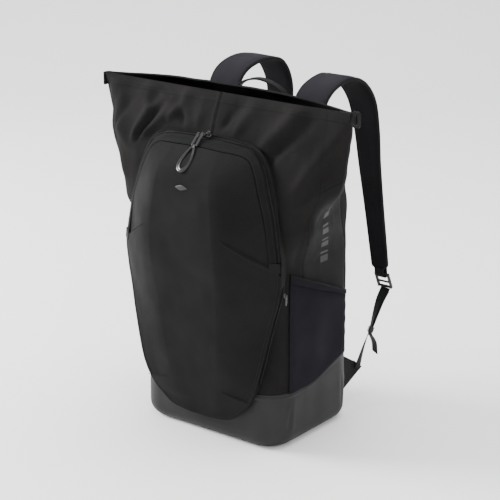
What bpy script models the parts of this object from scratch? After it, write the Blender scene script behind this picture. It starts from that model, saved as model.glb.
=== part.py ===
"""Roll-top racket backpack, standing with its mouth unrolled.

Frame: metres, +X to the wearer's right, -Y to the front pocket, +Y to the wearer's back, +Z up.
The origin is the centre of the boot's flat bottom.

The bag's skin is one lofted surface, skin(u, z): u runs once round the bag, 0 at the front
centre, 0.25 at the middle of the +X side, 0.5 at the back centre, negative on the -X side.
"""

import math

import bmesh
import bpy
import numpy as np
from mathutils import Euler, Matrix, Vector

# Body
WIDTH = 0.305
DEPTH = 0.235
CORNER = 0.050
FILLET = 0.025
RIM_Z = 0.600
RIM_HALF = 0.259
RIM_FRONT_Y = -0.070
RIM_BACK_Y = -0.033
RIM_END_Y = -0.064
RIM_END_HALF_GAP = 0.004
SHOULDER_SPREAD = 1.18
SHOULDER_TAPER = 1.53
SHOULDER_DEPTH = 0.95
SHOULDER_WARP = 0.045
# Height, share of the way to the shoulder's section, and shares of the way to the rim in X and in Y
SKIN_KNOTS = [
    (0.320, 0.0, 0.0, 0.0), (0.400, 1.0, 0.0, 0.0), (0.450, 1.0, 0.36, 0.06),
    (0.500, 1.0, 0.64, 0.22), (0.545, 1.0, 0.84, 0.50), (0.600, 1.0, 1.0, 1.0),
]
FABRIC = 0.0015
GAP = 0.0004
PERIMETER = 2 * (WIDTH + DEPTH) - 8 * CORNER + 2 * math.pi * CORNER

# Seams of the skin, as arc fractions and heights
FRONT_SEAM_U = 0.2047
BACK_SEAM_U = 0.335
COLLAR_Z = 0.545
BOOT_SIDE_Z = 0.102
BOOT_BACK_Z = 0.130
HEM_SIDE_Z = 0.280
HEM_SLOPE = 0.43
SIDE_TOP_Z = 0.496
SIDE_TOP_DROP = 0.036

# Front pocket: half outline from the bottom centre to the top centre
HALF_OUTLINE = [
    (0.020, 0.0402), (0.060, 0.0455), (0.087, 0.063), (0.104, 0.081), (0.114, 0.097),
    (0.1235, 0.120), (0.134, 0.160), (0.143, 0.200), (0.152, 0.240), (0.162, 0.280),
    (0.1675, 0.316), (0.168, 0.331), (0.1670, 0.346), (0.1625, 0.375), (0.156, 0.410),
    (0.141, 0.460), (0.124, 0.502), (0.108, 0.521), (0.085, 0.530), (0.050, 0.5332),
    (0.020, 0.534),
]
EDGE_DEPTH = [
    (0.040, 0.128), (0.080, 0.133), (0.120, 0.135), (0.200, 0.132), (0.280, 0.1255),
    (0.331, 0.124), (0.410, 0.120), (0.460, 0.116), (0.505, 0.110), (0.534, 0.105),
]
CREST_DEPTH = [
    (0.040, 0.130), (0.080, 0.142), (0.120, 0.150), (0.200, 0.160), (0.280, 0.170),
    (0.331, 0.177), (0.385, 0.181), (0.420, 0.179), (0.462, 0.174), (0.485, 0.166),
    (0.509, 0.142), (0.5235, 0.1225), (0.534, 0.105),
]
CREST_FLAT = 0.40
FLAP_Z = 0.331
ZIP_END_Z = 0.346
COIL_WIDTH = 0.004
BAND_WIDTH = 0.0165

# Moving pieces
FLAP_PIVOT = (0.0, -0.1775, FLAP_Z)
COLLAR_PIVOT = (0.0, -0.0920, COLLAR_Z - 0.0002)
SLIDER_X = 0.0065
SLIDER_Z = 0.5320
SLIDER_SIZE = (0.0090, 0.0050, 0.0085)
PULL_TILT = math.radians(44)
PULL_LENGTH = 0.078
PULL_LINK = 0.022
PULL_WIDTH = 0.029
HANDLE_PIVOT = (0.0, 0.0650, 0.5250)
SIDE_ZIP_TOP_Z = 0.287
SIDE_ZIP_LOW_Z = 0.125
SIDE_SLIDER_LIFT = 0.0056
SIDE_RING_LIFT = 0.0092
HANDLE_ARCH = [
    (-0.058, 0.0655, 0.5265), (-0.058, 0.0500, 0.557), (-0.044, 0.0410, 0.589), (0.0, 0.0375, 0.6035),
]
HANDLE_HALF_WIDTH = 0.0065
HANDLE_HALF_THICKNESS = 0.0016
BOARD_INSET = 0.028
YOKE_HALF_U = 0.090
YOKE_LOW_Z = 0.435
YOKE_HIGH_Z = 0.472
STRAP_ROUTES = {
    "right": [
        (0.080, 0.1050, 0.465), (0.090, 0.0910, 0.505), (0.0965, 0.0660, 0.541), (0.0975, 0.0480, 0.568),
        (0.099, 0.0660, 0.592), (0.100, 0.1000, 0.604), (0.101, 0.1300, 0.6045), (0.103, 0.1650, 0.588),
        (0.106, 0.1920, 0.553), (0.110, 0.2035, 0.500), (0.115, 0.2070, 0.440), (0.126, 0.2060, 0.370),
        (0.139, 0.2055, 0.285), (0.144, 0.2065, 0.245),
    ],
    "left": [
        (-0.080, 0.1050, 0.465), (-0.090, 0.0910, 0.505), (-0.0965, 0.0680, 0.545), (-0.0980, 0.0640, 0.577),
        (-0.099, 0.0920, 0.603), (-0.095, 0.1400, 0.613), (-0.088, 0.1850, 0.600), (-0.087, 0.2120, 0.545),
        (-0.098, 0.2120, 0.460), (-0.118, 0.2080, 0.370), (-0.1370, 0.2060, 0.285), (-0.1440, 0.2065, 0.245),
    ],
}
PAD_SIZE = (0.088, 0.0120, 0.310)
PAD_X = 0.050
PAD_Z = 0.235
STRAP_TOP_WIDTH = 0.065
STRAP_END_WIDTH = 0.034
STRAP_THICKNESS = 0.008
LOCK_PIVOT = (0.1450, 0.2080, 0.2405)
LOCK_TILT = math.radians(25)
WEBBING_ROUTE = [
    (0.1450, 0.2240, 0.2065), (0.1430, 0.2080, 0.187), (0.1400, 0.1975, 0.162), (0.1370, 0.1880, 0.135),
    (0.1340, 0.1740, 0.108), (0.1322, 0.1610, 0.0830),
]
WEBBING_ACROSS = [(0.0, (1, 0, 0)), (0.5, (0.60, -0.75, 0.30)), (1.0, (0.0, -0.81, 0.58))]
WING_TIP = [(0.1312, 0.1455, 0.0850), (0.1325, 0.1680, 0.0680)]
TAIL_ROUTE = [(0.1374, 0.1975, 0.1235), (0.1370, 0.2020, 0.106), (0.1365, 0.2070, 0.084)]
WEBBING_WIDTH = 0.020
WEBBING_THICKNESS = 0.0015
KEEPER_POINT = 6

# Colour, roughness and metallic value of each material
FINISHES = {
    "woven": ((0.020, 0.020, 0.020), 0.75, 0.0),
    "coated": ((0.045, 0.045, 0.046), 0.55, 0.0),
    "knit": ((0.022, 0.022, 0.028), 0.85, 0.0),
    "strap_knit": ((0.060, 0.058, 0.068), 0.85, 0.0),
    "webbing": ((0.016, 0.016, 0.017), 0.70, 0.0),
    "lining": ((0.012, 0.012, 0.012), 0.80, 0.0),
    "plastic": ((0.020, 0.020, 0.021), 0.40, 0.0),
    "metal": ((0.060, 0.060, 0.065), 0.30, 0.9),
    "rubber": ((0.030, 0.030, 0.031), 0.35, 0.0),
    "mark": ((0.120, 0.120, 0.120), 0.45, 0.0),
}


def clear_scene():
    """Removes every object that the new file opens with."""
    for obj in list(bpy.data.objects):
        bpy.data.objects.remove(obj, do_unlink=True)


def finish_material(node_name, finish):
    """A Principled material of the node's own."""
    colour, roughness, metallic = FINISHES[finish]
    material = bpy.data.materials.new(node_name)
    material.use_nodes = True
    shader = material.node_tree.nodes["Principled BSDF"]
    shader.inputs["Base Color"].default_value = (*colour, 1.0)
    shader.inputs["Roughness"].default_value = roughness
    shader.inputs["Metallic"].default_value = metallic
    return material


class Pivot:
    """An empty on a joint's axis, with its place in world coordinates."""

    def __init__(self, name, place, parent=None):
        self.place = Vector(place)
        self.empty = bpy.data.objects.new(name, None)
        bpy.context.scene.collection.objects.link(self.empty)
        self.empty.location = self.place
        if parent is not None:
            self.empty.parent = parent.empty
            self.empty.location = self.place - parent.place


def add_node(name, points, faces, finish, pivot=None):
    """A named mesh object from world points, hung on its pivot when it moves."""
    shift = pivot.place if pivot else Vector((0, 0, 0))
    mesh = bpy.data.meshes.new(name)
    mesh.from_pydata([Vector(point) - shift for point in points], [], faces)
    body = bmesh.new()
    body.from_mesh(mesh)
    bmesh.ops.recalc_face_normals(body, faces=body.faces)
    body.to_mesh(mesh)
    body.free()
    mesh.shade_smooth()
    mesh.set_sharp_from_angle(angle=math.radians(40))
    mesh.materials.append(finish_material(name, finish))
    obj = bpy.data.objects.new(name, mesh)
    bpy.context.scene.collection.objects.link(obj)
    if pivot:
        obj.parent = pivot.empty
    return obj


def slab(name, outer, inner, finish, pivot=None, closed=False):
    """One closed sheet between two grids of points; closed joins the last column to the first."""
    rows = len(outer)
    columns = len(outer[0])
    points = [point for row in outer for point in row] + [point for row in inner for point in row]
    back = rows * columns
    steps = columns if closed else columns - 1
    faces = []
    for row in range(rows - 1):
        for step in range(steps):
            a = row * columns + step
            b = row * columns + (step + 1) % columns
            faces.append((a, b, b + columns, a + columns))
            faces.append((a + back, a + columns + back, b + columns + back, b + back))
    for step in range(steps):
        a = step
        b = (step + 1) % columns
        top = (rows - 1) * columns
        faces.append((a, a + back, b + back, b))
        faces.append((top + a, top + b, top + b + back, top + a + back))
    if not closed:
        for row in range(rows - 1):
            a = row * columns
            b = a + columns
            end = columns - 1
            faces.append((a, b, b + back, a + back))
            faces.append((a + end, a + end + back, b + end + back, b + end))
    return add_node(name, points, faces, finish, pivot)


def tube_of_rings(name, rings, finish, pivot=None):
    """One closed body through a list of equal rings of points, with flat ends."""
    size = len(rings[0])
    points = [point for ring in rings for point in ring]
    faces = [tuple(range(size)), tuple(range(len(points) - 1, len(points) - 1 - size, -1))]
    for index in range(len(rings) - 1):
        for step in range(size):
            a = index * size + step
            b = index * size + (step + 1) % size
            faces.append((a, a + size, b + size, b))
    return add_node(name, points, faces, finish, pivot)


def block(name, size, place, finish, pivot=None, turn=(0, 0, 0), bevel=0.0006):
    """A small box with eased edges."""
    body = bmesh.new()
    bmesh.ops.create_cube(body, size=1.0)
    bmesh.ops.scale(body, vec=size, verts=body.verts)
    bmesh.ops.bevel(body, geom=list(body.edges), offset=bevel, segments=1, affect="EDGES")
    bmesh.ops.rotate(body, cent=(0, 0, 0), matrix=Euler(turn).to_matrix(), verts=body.verts)
    bmesh.ops.translate(body, vec=place, verts=body.verts)
    body.verts.ensure_lookup_table()
    points = [vertex.co.copy() for vertex in body.verts]
    faces = [tuple(vertex.index for vertex in face.verts) for face in body.faces]
    body.free()
    return add_node(name, points, faces, finish, pivot)


def pierced_plate(name, xs, zs, holes, thickness, finish, place, pivot=None, turn=(0, 0, 0)):
    """A plate on a grid of cells in X and Z, with the listed cells left open."""
    rotation = Euler(turn).to_matrix()
    columns = len(xs)
    points = []
    for y in (-thickness / 2, thickness / 2):
        for z in zs:
            for x in xs:
                points.append(rotation @ Vector((x, y, z)) + Vector(place))
    back = columns * len(zs)
    solid = {(i, k) for i in range(columns - 1) for k in range(len(zs) - 1)} - set(holes)
    faces = []
    for i, k in sorted(solid):
        a = k * columns + i
        corners = (a, a + 1, a + 1 + columns, a + columns)
        faces.append(corners)
        faces.append(tuple(corner + back for corner in reversed(corners)))
        sides = (((i, k - 1), 0, 1), ((i + 1, k), 1, 2), ((i, k + 1), 2, 3), ((i - 1, k), 3, 0))
        for neighbour, start, end in sides:
            if neighbour not in solid:
                first = corners[start]
                last = corners[end]
                faces.append((last, first, first + back, last + back))
    return add_node(name, points, faces, finish, pivot)


def mixed(first, last, share):
    return first + (last - first) * share


def smooth_step(low, high, value):
    share = min(max((value - low) / (high - low), 0.0), 1.0)
    return share * share * (3 - 2 * share)


def rounded_section(u):
    """Point of the base's rounded rectangle at arc fraction u from 0 to 0.5, and its outward normal."""
    straight = WIDTH / 2 - CORNER
    arc = math.pi / 2 * CORNER
    side = DEPTH - 2 * CORNER
    s = u * PERIMETER
    if s < straight:
        return Vector((s, -DEPTH / 2, 0)), Vector((0, -1, 0))
    s -= straight
    if s < arc:
        normal = Vector((math.sin(s / CORNER), -math.cos(s / CORNER), 0))
        return Vector((straight, CORNER - DEPTH / 2, 0)) + normal * CORNER, normal
    s -= arc
    if s < side:
        return Vector((WIDTH / 2, CORNER - DEPTH / 2 + s, 0)), Vector((1, 0, 0))
    s -= side
    if s < arc:
        normal = Vector((math.cos(s / CORNER), math.sin(s / CORNER), 0))
        return Vector((straight, DEPTH / 2 - CORNER, 0)) + normal * CORNER, normal
    return Vector((straight - (s - arc), DEPTH / 2, 0)), Vector((0, 1, 0))


def rim_section(u):
    """Point of the mouth's flat lens at arc fraction u from 0 to 0.5."""
    end_u = 0.245
    if u < end_u:
        share = u / end_u
        return Vector((RIM_HALF * share, mixed(RIM_FRONT_Y, RIM_END_Y - RIM_END_HALF_GAP, share**2), 0))
    if u > 0.5 - end_u:
        share = (0.5 - u) / end_u
        return Vector((RIM_HALF * share, mixed(RIM_BACK_Y, RIM_END_Y + RIM_END_HALF_GAP, share**2), 0))
    across = (u - end_u) / (0.5 - 2 * end_u)
    return Vector((RIM_HALF, RIM_END_Y + RIM_END_HALF_GAP * (2 * across - 1), 0))


def shoulder_section(u):
    """Point of the section at the shoulder, whose front is wider than its back, at arc fraction u."""
    point = rounded_section(u - SHOULDER_WARP * math.sin(2 * math.pi * u))[0]
    point.x *= SHOULDER_SPREAD - SHOULDER_TAPER * point.y
    point.y *= SHOULDER_DEPTH
    return point


def skin_shares(z):
    """How far the section at this height has gone to the shoulder, and to the rim in X and in Y."""
    heights = [knot[0] for knot in SKIN_KNOTS]
    return [float(np.interp(z, heights, [knot[column] for knot in SKIN_KNOTS])) for column in (1, 2, 3)]


def skin(u, z):
    """Point on the bag's outer surface."""
    around = u % 1.0
    mirror = around > 0.5
    around = 1.0 - around if mirror else around
    point, normal = rounded_section(around)
    if z < FILLET:
        point -= normal * (FILLET - math.sqrt(max(FILLET**2 - (FILLET - z) ** 2, 0.0)))
    flare, widen, lean = skin_shares(z)
    shoulder = shoulder_section(around)
    point.x = mixed(point.x, shoulder.x, flare)
    point.y = mixed(point.y, shoulder.y, flare)
    rim = rim_section(around)
    point.x = mixed(point.x, rim.x, widen)
    point.y = mixed(point.y, rim.y, lean)
    point.z = z
    if mirror:
        point.x = -point.x
    return point


def skin_out(u, z, distance):
    """The skin's point moved outward along its normal, square to the fillet's height."""
    step = 0.002
    low = max(z, FILLET)
    along = skin(u + step, low) - skin(u - step, low)
    rise = skin(u, low + step) - skin(u, low)
    return skin(u, z) + along.cross(rise).normalized() * distance


def u_stops(first, last):
    """Arc fractions between two seams: the ends and the shared stops between them."""
    half = [0.0, 0.034, 0.068, 0.103, 0.1228, 0.1425, 0.1623, 0.182, 0.2047, 0.2275, 0.24, 0.25, 0.26,
            0.2725, 0.295, 0.318, 0.335, 0.3575, 0.3773, 0.397, 0.431, 0.466, 0.5]
    shared = sorted({-stop for stop in half} | set(half) | {1.0 - stop for stop in half})
    tolerance = 0.002
    return [first] + [stop for stop in shared if first + tolerance < stop < last - tolerance] + [last]


def z_stops(low, high):
    """Heights of a column of points: its ends and the skin's knots between them, or its middle."""
    between = [knot[0] for knot in SKIN_KNOTS if low < knot[0] < high]
    return [low] + (between or [(low + high) / 2]) + [high]


def panel(name, first, last, low, high, finish, offset=None, thickness=FABRIC, pivot=None):
    """A fabric panel of the skin between two seams and two heights, each height a function of u."""
    edge = GAP / PERIMETER
    stops = u_stops(first + edge, last - edge)
    columns = []
    for u in stops:
        heights = z_stops(low(abs(u)), high(abs(u)))
        columns.append([(u, z, row / (len(heights) - 1)) for row, z in enumerate(heights)])
    outer = []
    inner = []
    for row in range(len(columns[0])):
        outer_row = []
        inner_row = []
        for u, z, share in (column[row] for column in columns):
            across = (u - stops[0]) / (stops[-1] - stops[0])
            out = offset(across, share) if offset else 0.0
            outer_row.append(skin_out(u, z, out))
            inner_row.append(skin_out(u, z, out - thickness))
        outer.append(outer_row)
        inner.append(inner_row)
    return slab(name, outer, inner, finish, pivot)


def boot_top(u):
    return mixed(BOOT_SIDE_Z, BOOT_BACK_Z, smooth_step(0.22, 0.34, min(u, 1.0 - u)))


def above_boot(u):
    return boot_top(u) + GAP


def side_top(u):
    return SIDE_TOP_Z - SIDE_TOP_DROP * min((BACK_SEAM_U - 0.01 - u) / 0.12, 1.0) ** 2


def level(z):
    return lambda u: z


def build_boot():
    """The coated cup round the bottom, with a flat floor and a rolled lower edge."""
    stops = u_stops(-0.5, 0.5)[:-1]
    quarter = [math.radians(angle) for angle in (0, 30, 60, 90)]
    outer = []
    inner = []
    for angle in quarter:
        z = FILLET * (1 - math.cos(angle))
        outer.append([skin(u, z) for u in stops])
        inner_radius = FILLET - FABRIC
        inner_row = []
        for u in stops:
            point = skin_out(u, FILLET, inner_radius * math.sin(angle) - FILLET)
            point.z = FILLET - inner_radius * math.cos(angle)
            inner_row.append(point)
        inner.append(inner_row)
    outer.append([skin(u, boot_top(abs(u))) for u in stops])
    inner.append([skin_out(u, boot_top(abs(u)), -FABRIC) for u in stops])
    size = len(stops)
    rings = outer + inner[::-1]
    points = [point for ring in rings for point in ring]
    faces = [tuple(range(size)), tuple(range(len(points) - size, len(points)))]
    for ring in range(len(rings) - 1):
        for step in range(size):
            a = ring * size + step
            b = ring * size + (step + 1) % size
            faces.append((a, b, b + size, a + size))
    add_node("base_boot", points, faces, "coated")


def build_inside():
    """The stiff base board and the padded divider behind the laptop's space."""
    low = FABRIC + GAP
    rings = []
    for z in (low, low + 0.002):
        ring = []
        for u in u_stops(-0.5, 0.5)[:-1]:
            point = skin_out(u, FILLET, -BOARD_INSET)
            point.z = z
            ring.append(point)
        rings.append(ring)
    tube_of_rings("base_board", rings, "lining")
    block("laptop_divider", (0.235, 0.003, 0.390), (0, 0.090, 0.215), "lining")


def build_body():
    """The woven front, the smoother sides, the gussets above them and the back."""
    panel("front_panel", -FRONT_SEAM_U, FRONT_SEAM_U, above_boot, level(COLLAR_Z), "woven")
    panel("back_panel", BACK_SEAM_U, 1 - BACK_SEAM_U, above_boot, level(COLLAR_Z), "woven")
    for side, first, last in (("right", FRONT_SEAM_U, BACK_SEAM_U), ("left", -BACK_SEAM_U, -FRONT_SEAM_U)):
        panel(f"side_panel_{side}", first, last, above_boot, side_top, "coated")
        panel(f"upper_gusset_{side}", first, last, lambda u: side_top(u) + GAP, level(COLLAR_Z), "woven")


def build_collar(pivot):
    """The two halves of the mouth, with a stiff tape inside each rim and a tab on each end."""
    low = level(COLLAR_Z + GAP)
    tape_low = level(RIM_Z - 0.020)
    tape_offset = -(FABRIC + 0.0014)
    inset_u = 0.25 - FRONT_SEAM_U
    for side, first in (("front", -0.25), ("back", 0.25)):
        last = first + 0.5
        panel(f"collar_{side}", first, last, low, level(RIM_Z), "woven", pivot=pivot)
        panel(f"rim_tape_{side}", first + inset_u, last - inset_u, tape_low, level(RIM_Z - 0.0005), "webbing",
              offset=lambda across, share: tape_offset, thickness=0.0010, pivot=pivot)
    block("rim_tab_left", (0.0030, 0.010, 0.022), (-RIM_HALF - 0.0030, RIM_END_Y, 0.588), "webbing", pivot)
    pierced_plate("rim_tab_right", (0, 0.004, 0.012, 0.015), (-0.013, -0.009, 0.009, 0.013), [(1, 1)], 0.003,
                  "webbing", (RIM_HALF + 0.0012, RIM_END_Y, 0.590), pivot)


def interpolated(table, value):
    keys, values = zip(*table)
    return float(np.interp(value, keys, values))


def face_point(x, z, lift=0.0):
    """Point of the pocket's domed front at x and z, lifted outward by lift."""
    half = float(np.interp(z, [p[1] for p in HALF_OUTLINE], [p[0] for p in HALF_OUTLINE]))
    share = min(abs(x) / max(half, 0.085), 1.0)
    slope = max(share - CREST_FLAT, 0.0) / (1 - CREST_FLAT)
    crest = interpolated(CREST_DEPTH, z)
    edge = interpolated(EDGE_DEPTH, z)
    return Vector((x, -mixed(crest, edge, slope**1.25) - lift, z))


def inset_outline(points, distance):
    """The half outline moved inward by a distance, in the X-Z plane."""
    moved = []
    for index, (x, z) in enumerate(points):
        x0, z0 = points[max(index - 1, 0)]
        x1, z1 = points[min(index + 1, len(points) - 1)]
        length = math.hypot(x1 - x0, z1 - z0)
        moved.append((x - (z1 - z0) / length * distance, z + (x1 - x0) / length * distance))
    return moved


def level_start(path, z):
    """The path with its first point moved to a height."""
    return [(path[0][0], z)] + path[1:]


def both_sides(half):
    """A path up the +X side and down the -X side."""
    return half + [(-x, z) for x, z in reversed(half)]


def pocket_sheet(name, half, finish, pivot=None):
    """A sheet of the domed front whose rows span from one side of an outline to the other."""
    shares = [-1, -0.8, -0.6, -0.4, -0.2, 0, 0.2, 0.4, 0.6, 0.8, 1]
    outer = [[face_point(x * share, z) for share in shares] for x, z in half]
    inner = [[face_point(x * share, z, -FABRIC) for share in shares] for x, z in half]
    return slab(name, outer, inner, finish, pivot)


def pocket_strip(name, path_outer, path_inner, finish, pivot=None):
    """A flat strip of the pocket's face between two paths."""
    outer = [[face_point(x, z) for x, z in path] for path in (path_outer, path_inner)]
    inner = [[face_point(x, z, -FABRIC) for x, z in path] for path in (path_outer, path_inner)]
    return slab(name, outer, inner, finish, pivot)


def gusset_point(x, z, share):
    """Point of the pocket's side wall, from its foot on the skin, 0, to the domed front's edge, 1."""
    centre_z = 0.29
    foot_z = z + (centre_z - z) * 0.012
    foot = skin_out(x * 0.965 / PERIMETER, foot_z, 0.0035)
    edge = face_point(x, z, -FABRIC - GAP)
    return foot.lerp(edge, share)


def build_front_pocket(flap):
    """The gusset wall, the fixed lower front, and the upper front that opens as a flap."""
    outer_loop = both_sides(HALF_OUTLINE)
    inner_loop = both_sides(inset_outline(HALF_OUTLINE, FABRIC))
    rows = (0.0, 1.0)
    outer = [[gusset_point(x, z, share) for x, z in outer_loop] for share in rows]
    inner = [[gusset_point(x, z, share) for x, z in inner_loop] for share in rows]
    slab("pocket_gusset", outer, inner, "woven", closed=True)

    lower = [(x, z) for x, z in HALF_OUTLINE if z < FLAP_Z - 0.001] + [(0.168, FLAP_Z - GAP)]
    pocket_sheet("pocket_front_lower", lower, "woven")

    zipped = [(x, z) for x, z in HALF_OUTLINE if z > FLAP_Z - 0.001]
    sheet = level_start(inset_outline(zipped, BAND_WIDTH + GAP), FLAP_Z)
    pocket_sheet("pocket_front_upper", sheet, "woven", flap)

    strip = [(x, z) for x, z in HALF_OUTLINE if z > ZIP_END_Z - 0.001]
    coil_inner = both_sides(level_start(inset_outline(strip, COIL_WIDTH), ZIP_END_Z))
    pocket_strip("main_zip_coil", both_sides(strip), coil_inner, "plastic")
    band_outer = both_sides(level_start(inset_outline(strip, COIL_WIDTH + GAP), ZIP_END_Z))
    band_inner = both_sides(level_start(inset_outline(strip, BAND_WIDTH), ZIP_END_Z))
    pocket_strip("zip_band", band_outer, band_inner, "woven", flap)

    ends = [point for point in zipped if point[1] < ZIP_END_Z]
    ends.append((strip[0][0], ZIP_END_Z - 2 * GAP))
    for side, sign in (("right", 1), ("left", -1)):
        wide = [(sign * x, z) for x, z in ends]
        narrow = [(sign * (x - BAND_WIDTH), z) for x, z in ends]
        pocket_strip(f"zip_end_{side}", wide, narrow, "woven")


def zip_frame(x):
    """A place on the main zip's coil at its top, with the face's downward direction and its normal."""
    place = face_point(x, SLIDER_Z)
    down = (face_point(x, SLIDER_Z - 0.003) - place).normalized()
    return place, down, down.cross(Vector((1, 0, 0))).normalized()


def build_sliders(flap):
    """The two slider heads of the main zip and the short bail of the right-hand one."""
    half = SLIDER_SIZE[1] / 2
    pivots = {}
    for side, sign in (("right", 1), ("left", -1)):
        place, down, normal = zip_frame(sign * SLIDER_X)
        turn = (math.atan2(-normal.z, -normal.y), 0, 0)
        centre = place + normal * (half + GAP)
        pivots[side] = Pivot(f"slider_pivot_{side}", centre, flap)
        block(f"zip_slider_{side}", SLIDER_SIZE, centre, "metal", pivots[side], turn, bevel=0.0012)
        if side == "right":
            bail_place = centre + normal * (half + 0.0010) - down * 0.001
            block("zip_bail_right", (0.0050, 0.0014, 0.0060), bail_place, "metal", pivots[side], turn)
    return pivots["left"]


def teardrop(length, width, count):
    """Outline of a rounded teardrop hanging from the origin, as (across, down) pairs."""
    points = []
    for index in range(count):
        angle = 2 * math.pi * index / count
        down = (1 - math.cos(angle)) / 2
        points.append((width / 2 * math.sin(angle) * (0.30 + 0.70 * down**0.8), down * length))
    return points


def build_pull(slider):
    """The rubber loop and the link that joins it to the slider."""
    face, along, normal = zip_frame(-SLIDER_X)
    top = face + normal * (SLIDER_SIZE[1] + 0.0016) + along * 0.003
    pivot = Pivot("pull_pivot", top, slider)
    down = Vector((0, -math.cos(PULL_TILT), -math.sin(PULL_TILT)))
    out = Vector((0, -math.sin(PULL_TILT), math.cos(PULL_TILT)))

    def place(across, drop, lift):
        return top + Vector((across, 0, 0)) + down * drop + out * lift

    drop = PULL_LENGTH - PULL_LINK
    start = PULL_LINK + GAP
    rim = teardrop(drop, PULL_WIDTH, 28)
    hole = teardrop(drop - 0.013, PULL_WIDTH - 0.011, 28)
    layers = []
    for lift in (0.0024, 0.0):
        layers.append([[place(a, d + start, lift) for a, d in rim],
                       [place(a, d + start + 0.007, lift) for a, d in hole]])
    slab("pull_loop", layers[0], layers[1], "rubber", pivot, closed=True)
    corners = ((-0.0035, 0.0), (0.0035, 0.0), (0.0040, PULL_LINK), (-0.0040, PULL_LINK))
    rings = [[place(a, d, lift) for a, d in corners] for lift in (0.0022, 0.0002)]
    tube_of_rings("pull_link", rings, "metal", pivot)


def side_zip_place(z, lift):
    """Point on the right-hand wall of the gusset at half its depth, lifted off the wall."""
    half = float(np.interp(z, [p[1] for p in HALF_OUTLINE], [p[0] for p in HALF_OUTLINE]))
    wall = gusset_point(half, z, 1.0) - gusset_point(half, z, 0.0)
    middle = gusset_point(half, z, 0.55)
    return middle + Vector((0, 0, 1)).cross(wall).normalized() * lift, wall.normalized()


def build_side_zip():
    """The short zip down the pocket's right-hand wall, with its slider and ring."""
    heights = np.linspace(SIDE_ZIP_LOW_Z, SIDE_ZIP_TOP_Z + 0.013, 6)
    outer = []
    inner = []
    for z in heights:
        top, across = side_zip_place(z, 0.0022)
        low, across = side_zip_place(z, 0.0009)
        outer.append([top - across * 0.0025, top + across * 0.0025])
        inner.append([low - across * 0.0025, low + across * 0.0025])
    slab("side_zip_coil", outer, inner, "plastic")
    place, across = side_zip_place(SIDE_ZIP_TOP_Z, SIDE_SLIDER_LIFT)
    pivot = Pivot("side_slider_pivot", place)
    turn = (0, 0, math.atan2(across.y, across.x))
    block("side_zip_slider", (0.0060, 0.0030, 0.0090), place, "metal", pivot, turn=turn)
    ring_place, across = side_zip_place(SIDE_ZIP_TOP_Z, SIDE_RING_LIFT)
    ring = Pivot("side_ring_pivot", ring_place, pivot)
    xs = (-0.0045, -0.0030, 0.0030, 0.0045)
    zs = (-0.0165, -0.0145, -0.0030, -0.0005, 0.0020)
    pierced_plate("side_zip_ring", xs, zs, [(1, 1), (1, 2)], 0.0014, "metal", ring_place, ring, turn)


def smooth_route(points, per_span):
    """Points of a Catmull-Rom curve through a route."""
    vectors = [Vector(point) for point in points]
    ends = [vectors[0] * 2 - vectors[1]] + vectors + [vectors[-1] * 2 - vectors[-2]]
    out = []
    for index in range(1, len(ends) - 2):
        p0, p1, p2, p3 = ends[index - 1:index + 3]
        for step in range(per_span):
            t = step / per_span
            out.append(0.5 * (2 * p1 + (p2 - p0) * t + (2 * p0 - 5 * p1 + 4 * p2 - p3) * t**2
                              + (3 * p1 - p0 - 3 * p2 + p3) * t**3))
    return out + [vectors[-1]]


def turned_across(table, share, sign):
    """Width direction at a share of a route, between the directions of a table."""
    shares = [row[0] for row in table]
    values = [float(np.interp(share, shares, [row[1][axis] for row in table])) for axis in range(3)]
    return Vector((values[0], sign * values[1], sign * values[2]))


def ribbon(name, route, width, thickness, finish, per_span=2, pivot=None, chamfer=0.0, across_at=None):
    """A strap swept along a route; its width is a function of the share, and lies along X by default."""
    line = smooth_route(route, per_span)
    rings = []
    for index, point in enumerate(line):
        share = index / (len(line) - 1)
        tangent = (line[min(index + 1, len(line) - 1)] - line[max(index - 1, 0)]).normalized()
        across = across_at(share) if across_at else Vector((1, 0, 0))
        across = (across - tangent * tangent.dot(across)).normalized()
        normal = tangent.cross(across)
        half = width(share) / 2
        thick = thickness / 2
        cut = chamfer * thick
        profile = [(half, -thick + cut), (half, thick - cut), (half - cut, thick), (cut - half, thick),
                   (-half, thick - cut), (-half, cut - thick), (cut - half, -thick), (half - cut, -thick)]
        if not chamfer:
            profile = [(half, -thick), (half, thick), (-half, thick), (-half, -thick)]
        rings.append([point + across * a + normal * b for a, b in profile])
    return tube_of_rings(name, rings, finish, pivot)


def mirrored(route, sign):
    return [(sign * x, y, z) for x, y, z in route]


def build_carry_system():
    """Straps, ladder locks, adjusting webbing, keepers and anchor wings, once for each side."""
    for side, sign in (("right", 1), ("left", -1)):
        ribbon(f"shoulder_strap_{side}", STRAP_ROUTES[side],
               lambda share: mixed(STRAP_TOP_WIDTH, STRAP_END_WIDTH, smooth_step(0.45, 1.0, share)),
               STRAP_THICKNESS, "strap_knit", chamfer=0.5)
        build_ladder_lock(side, sign)
        ribbon(f"webbing_{side}", mirrored(WEBBING_ROUTE, sign), lambda share: WEBBING_WIDTH,
               WEBBING_THICKNESS, "webbing",
               across_at=lambda share: turned_across(WEBBING_ACROSS, share, sign))
        ribbon(f"webbing_tail_{side}", mirrored(TAIL_ROUTE, sign), lambda share: WEBBING_WIDTH,
               WEBBING_THICKNESS, "webbing",
               across_at=lambda share: turned_across(WEBBING_ACROSS, 0.55, sign))
        build_keeper(side, sign)
        build_anchor_wing(side, sign)


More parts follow.
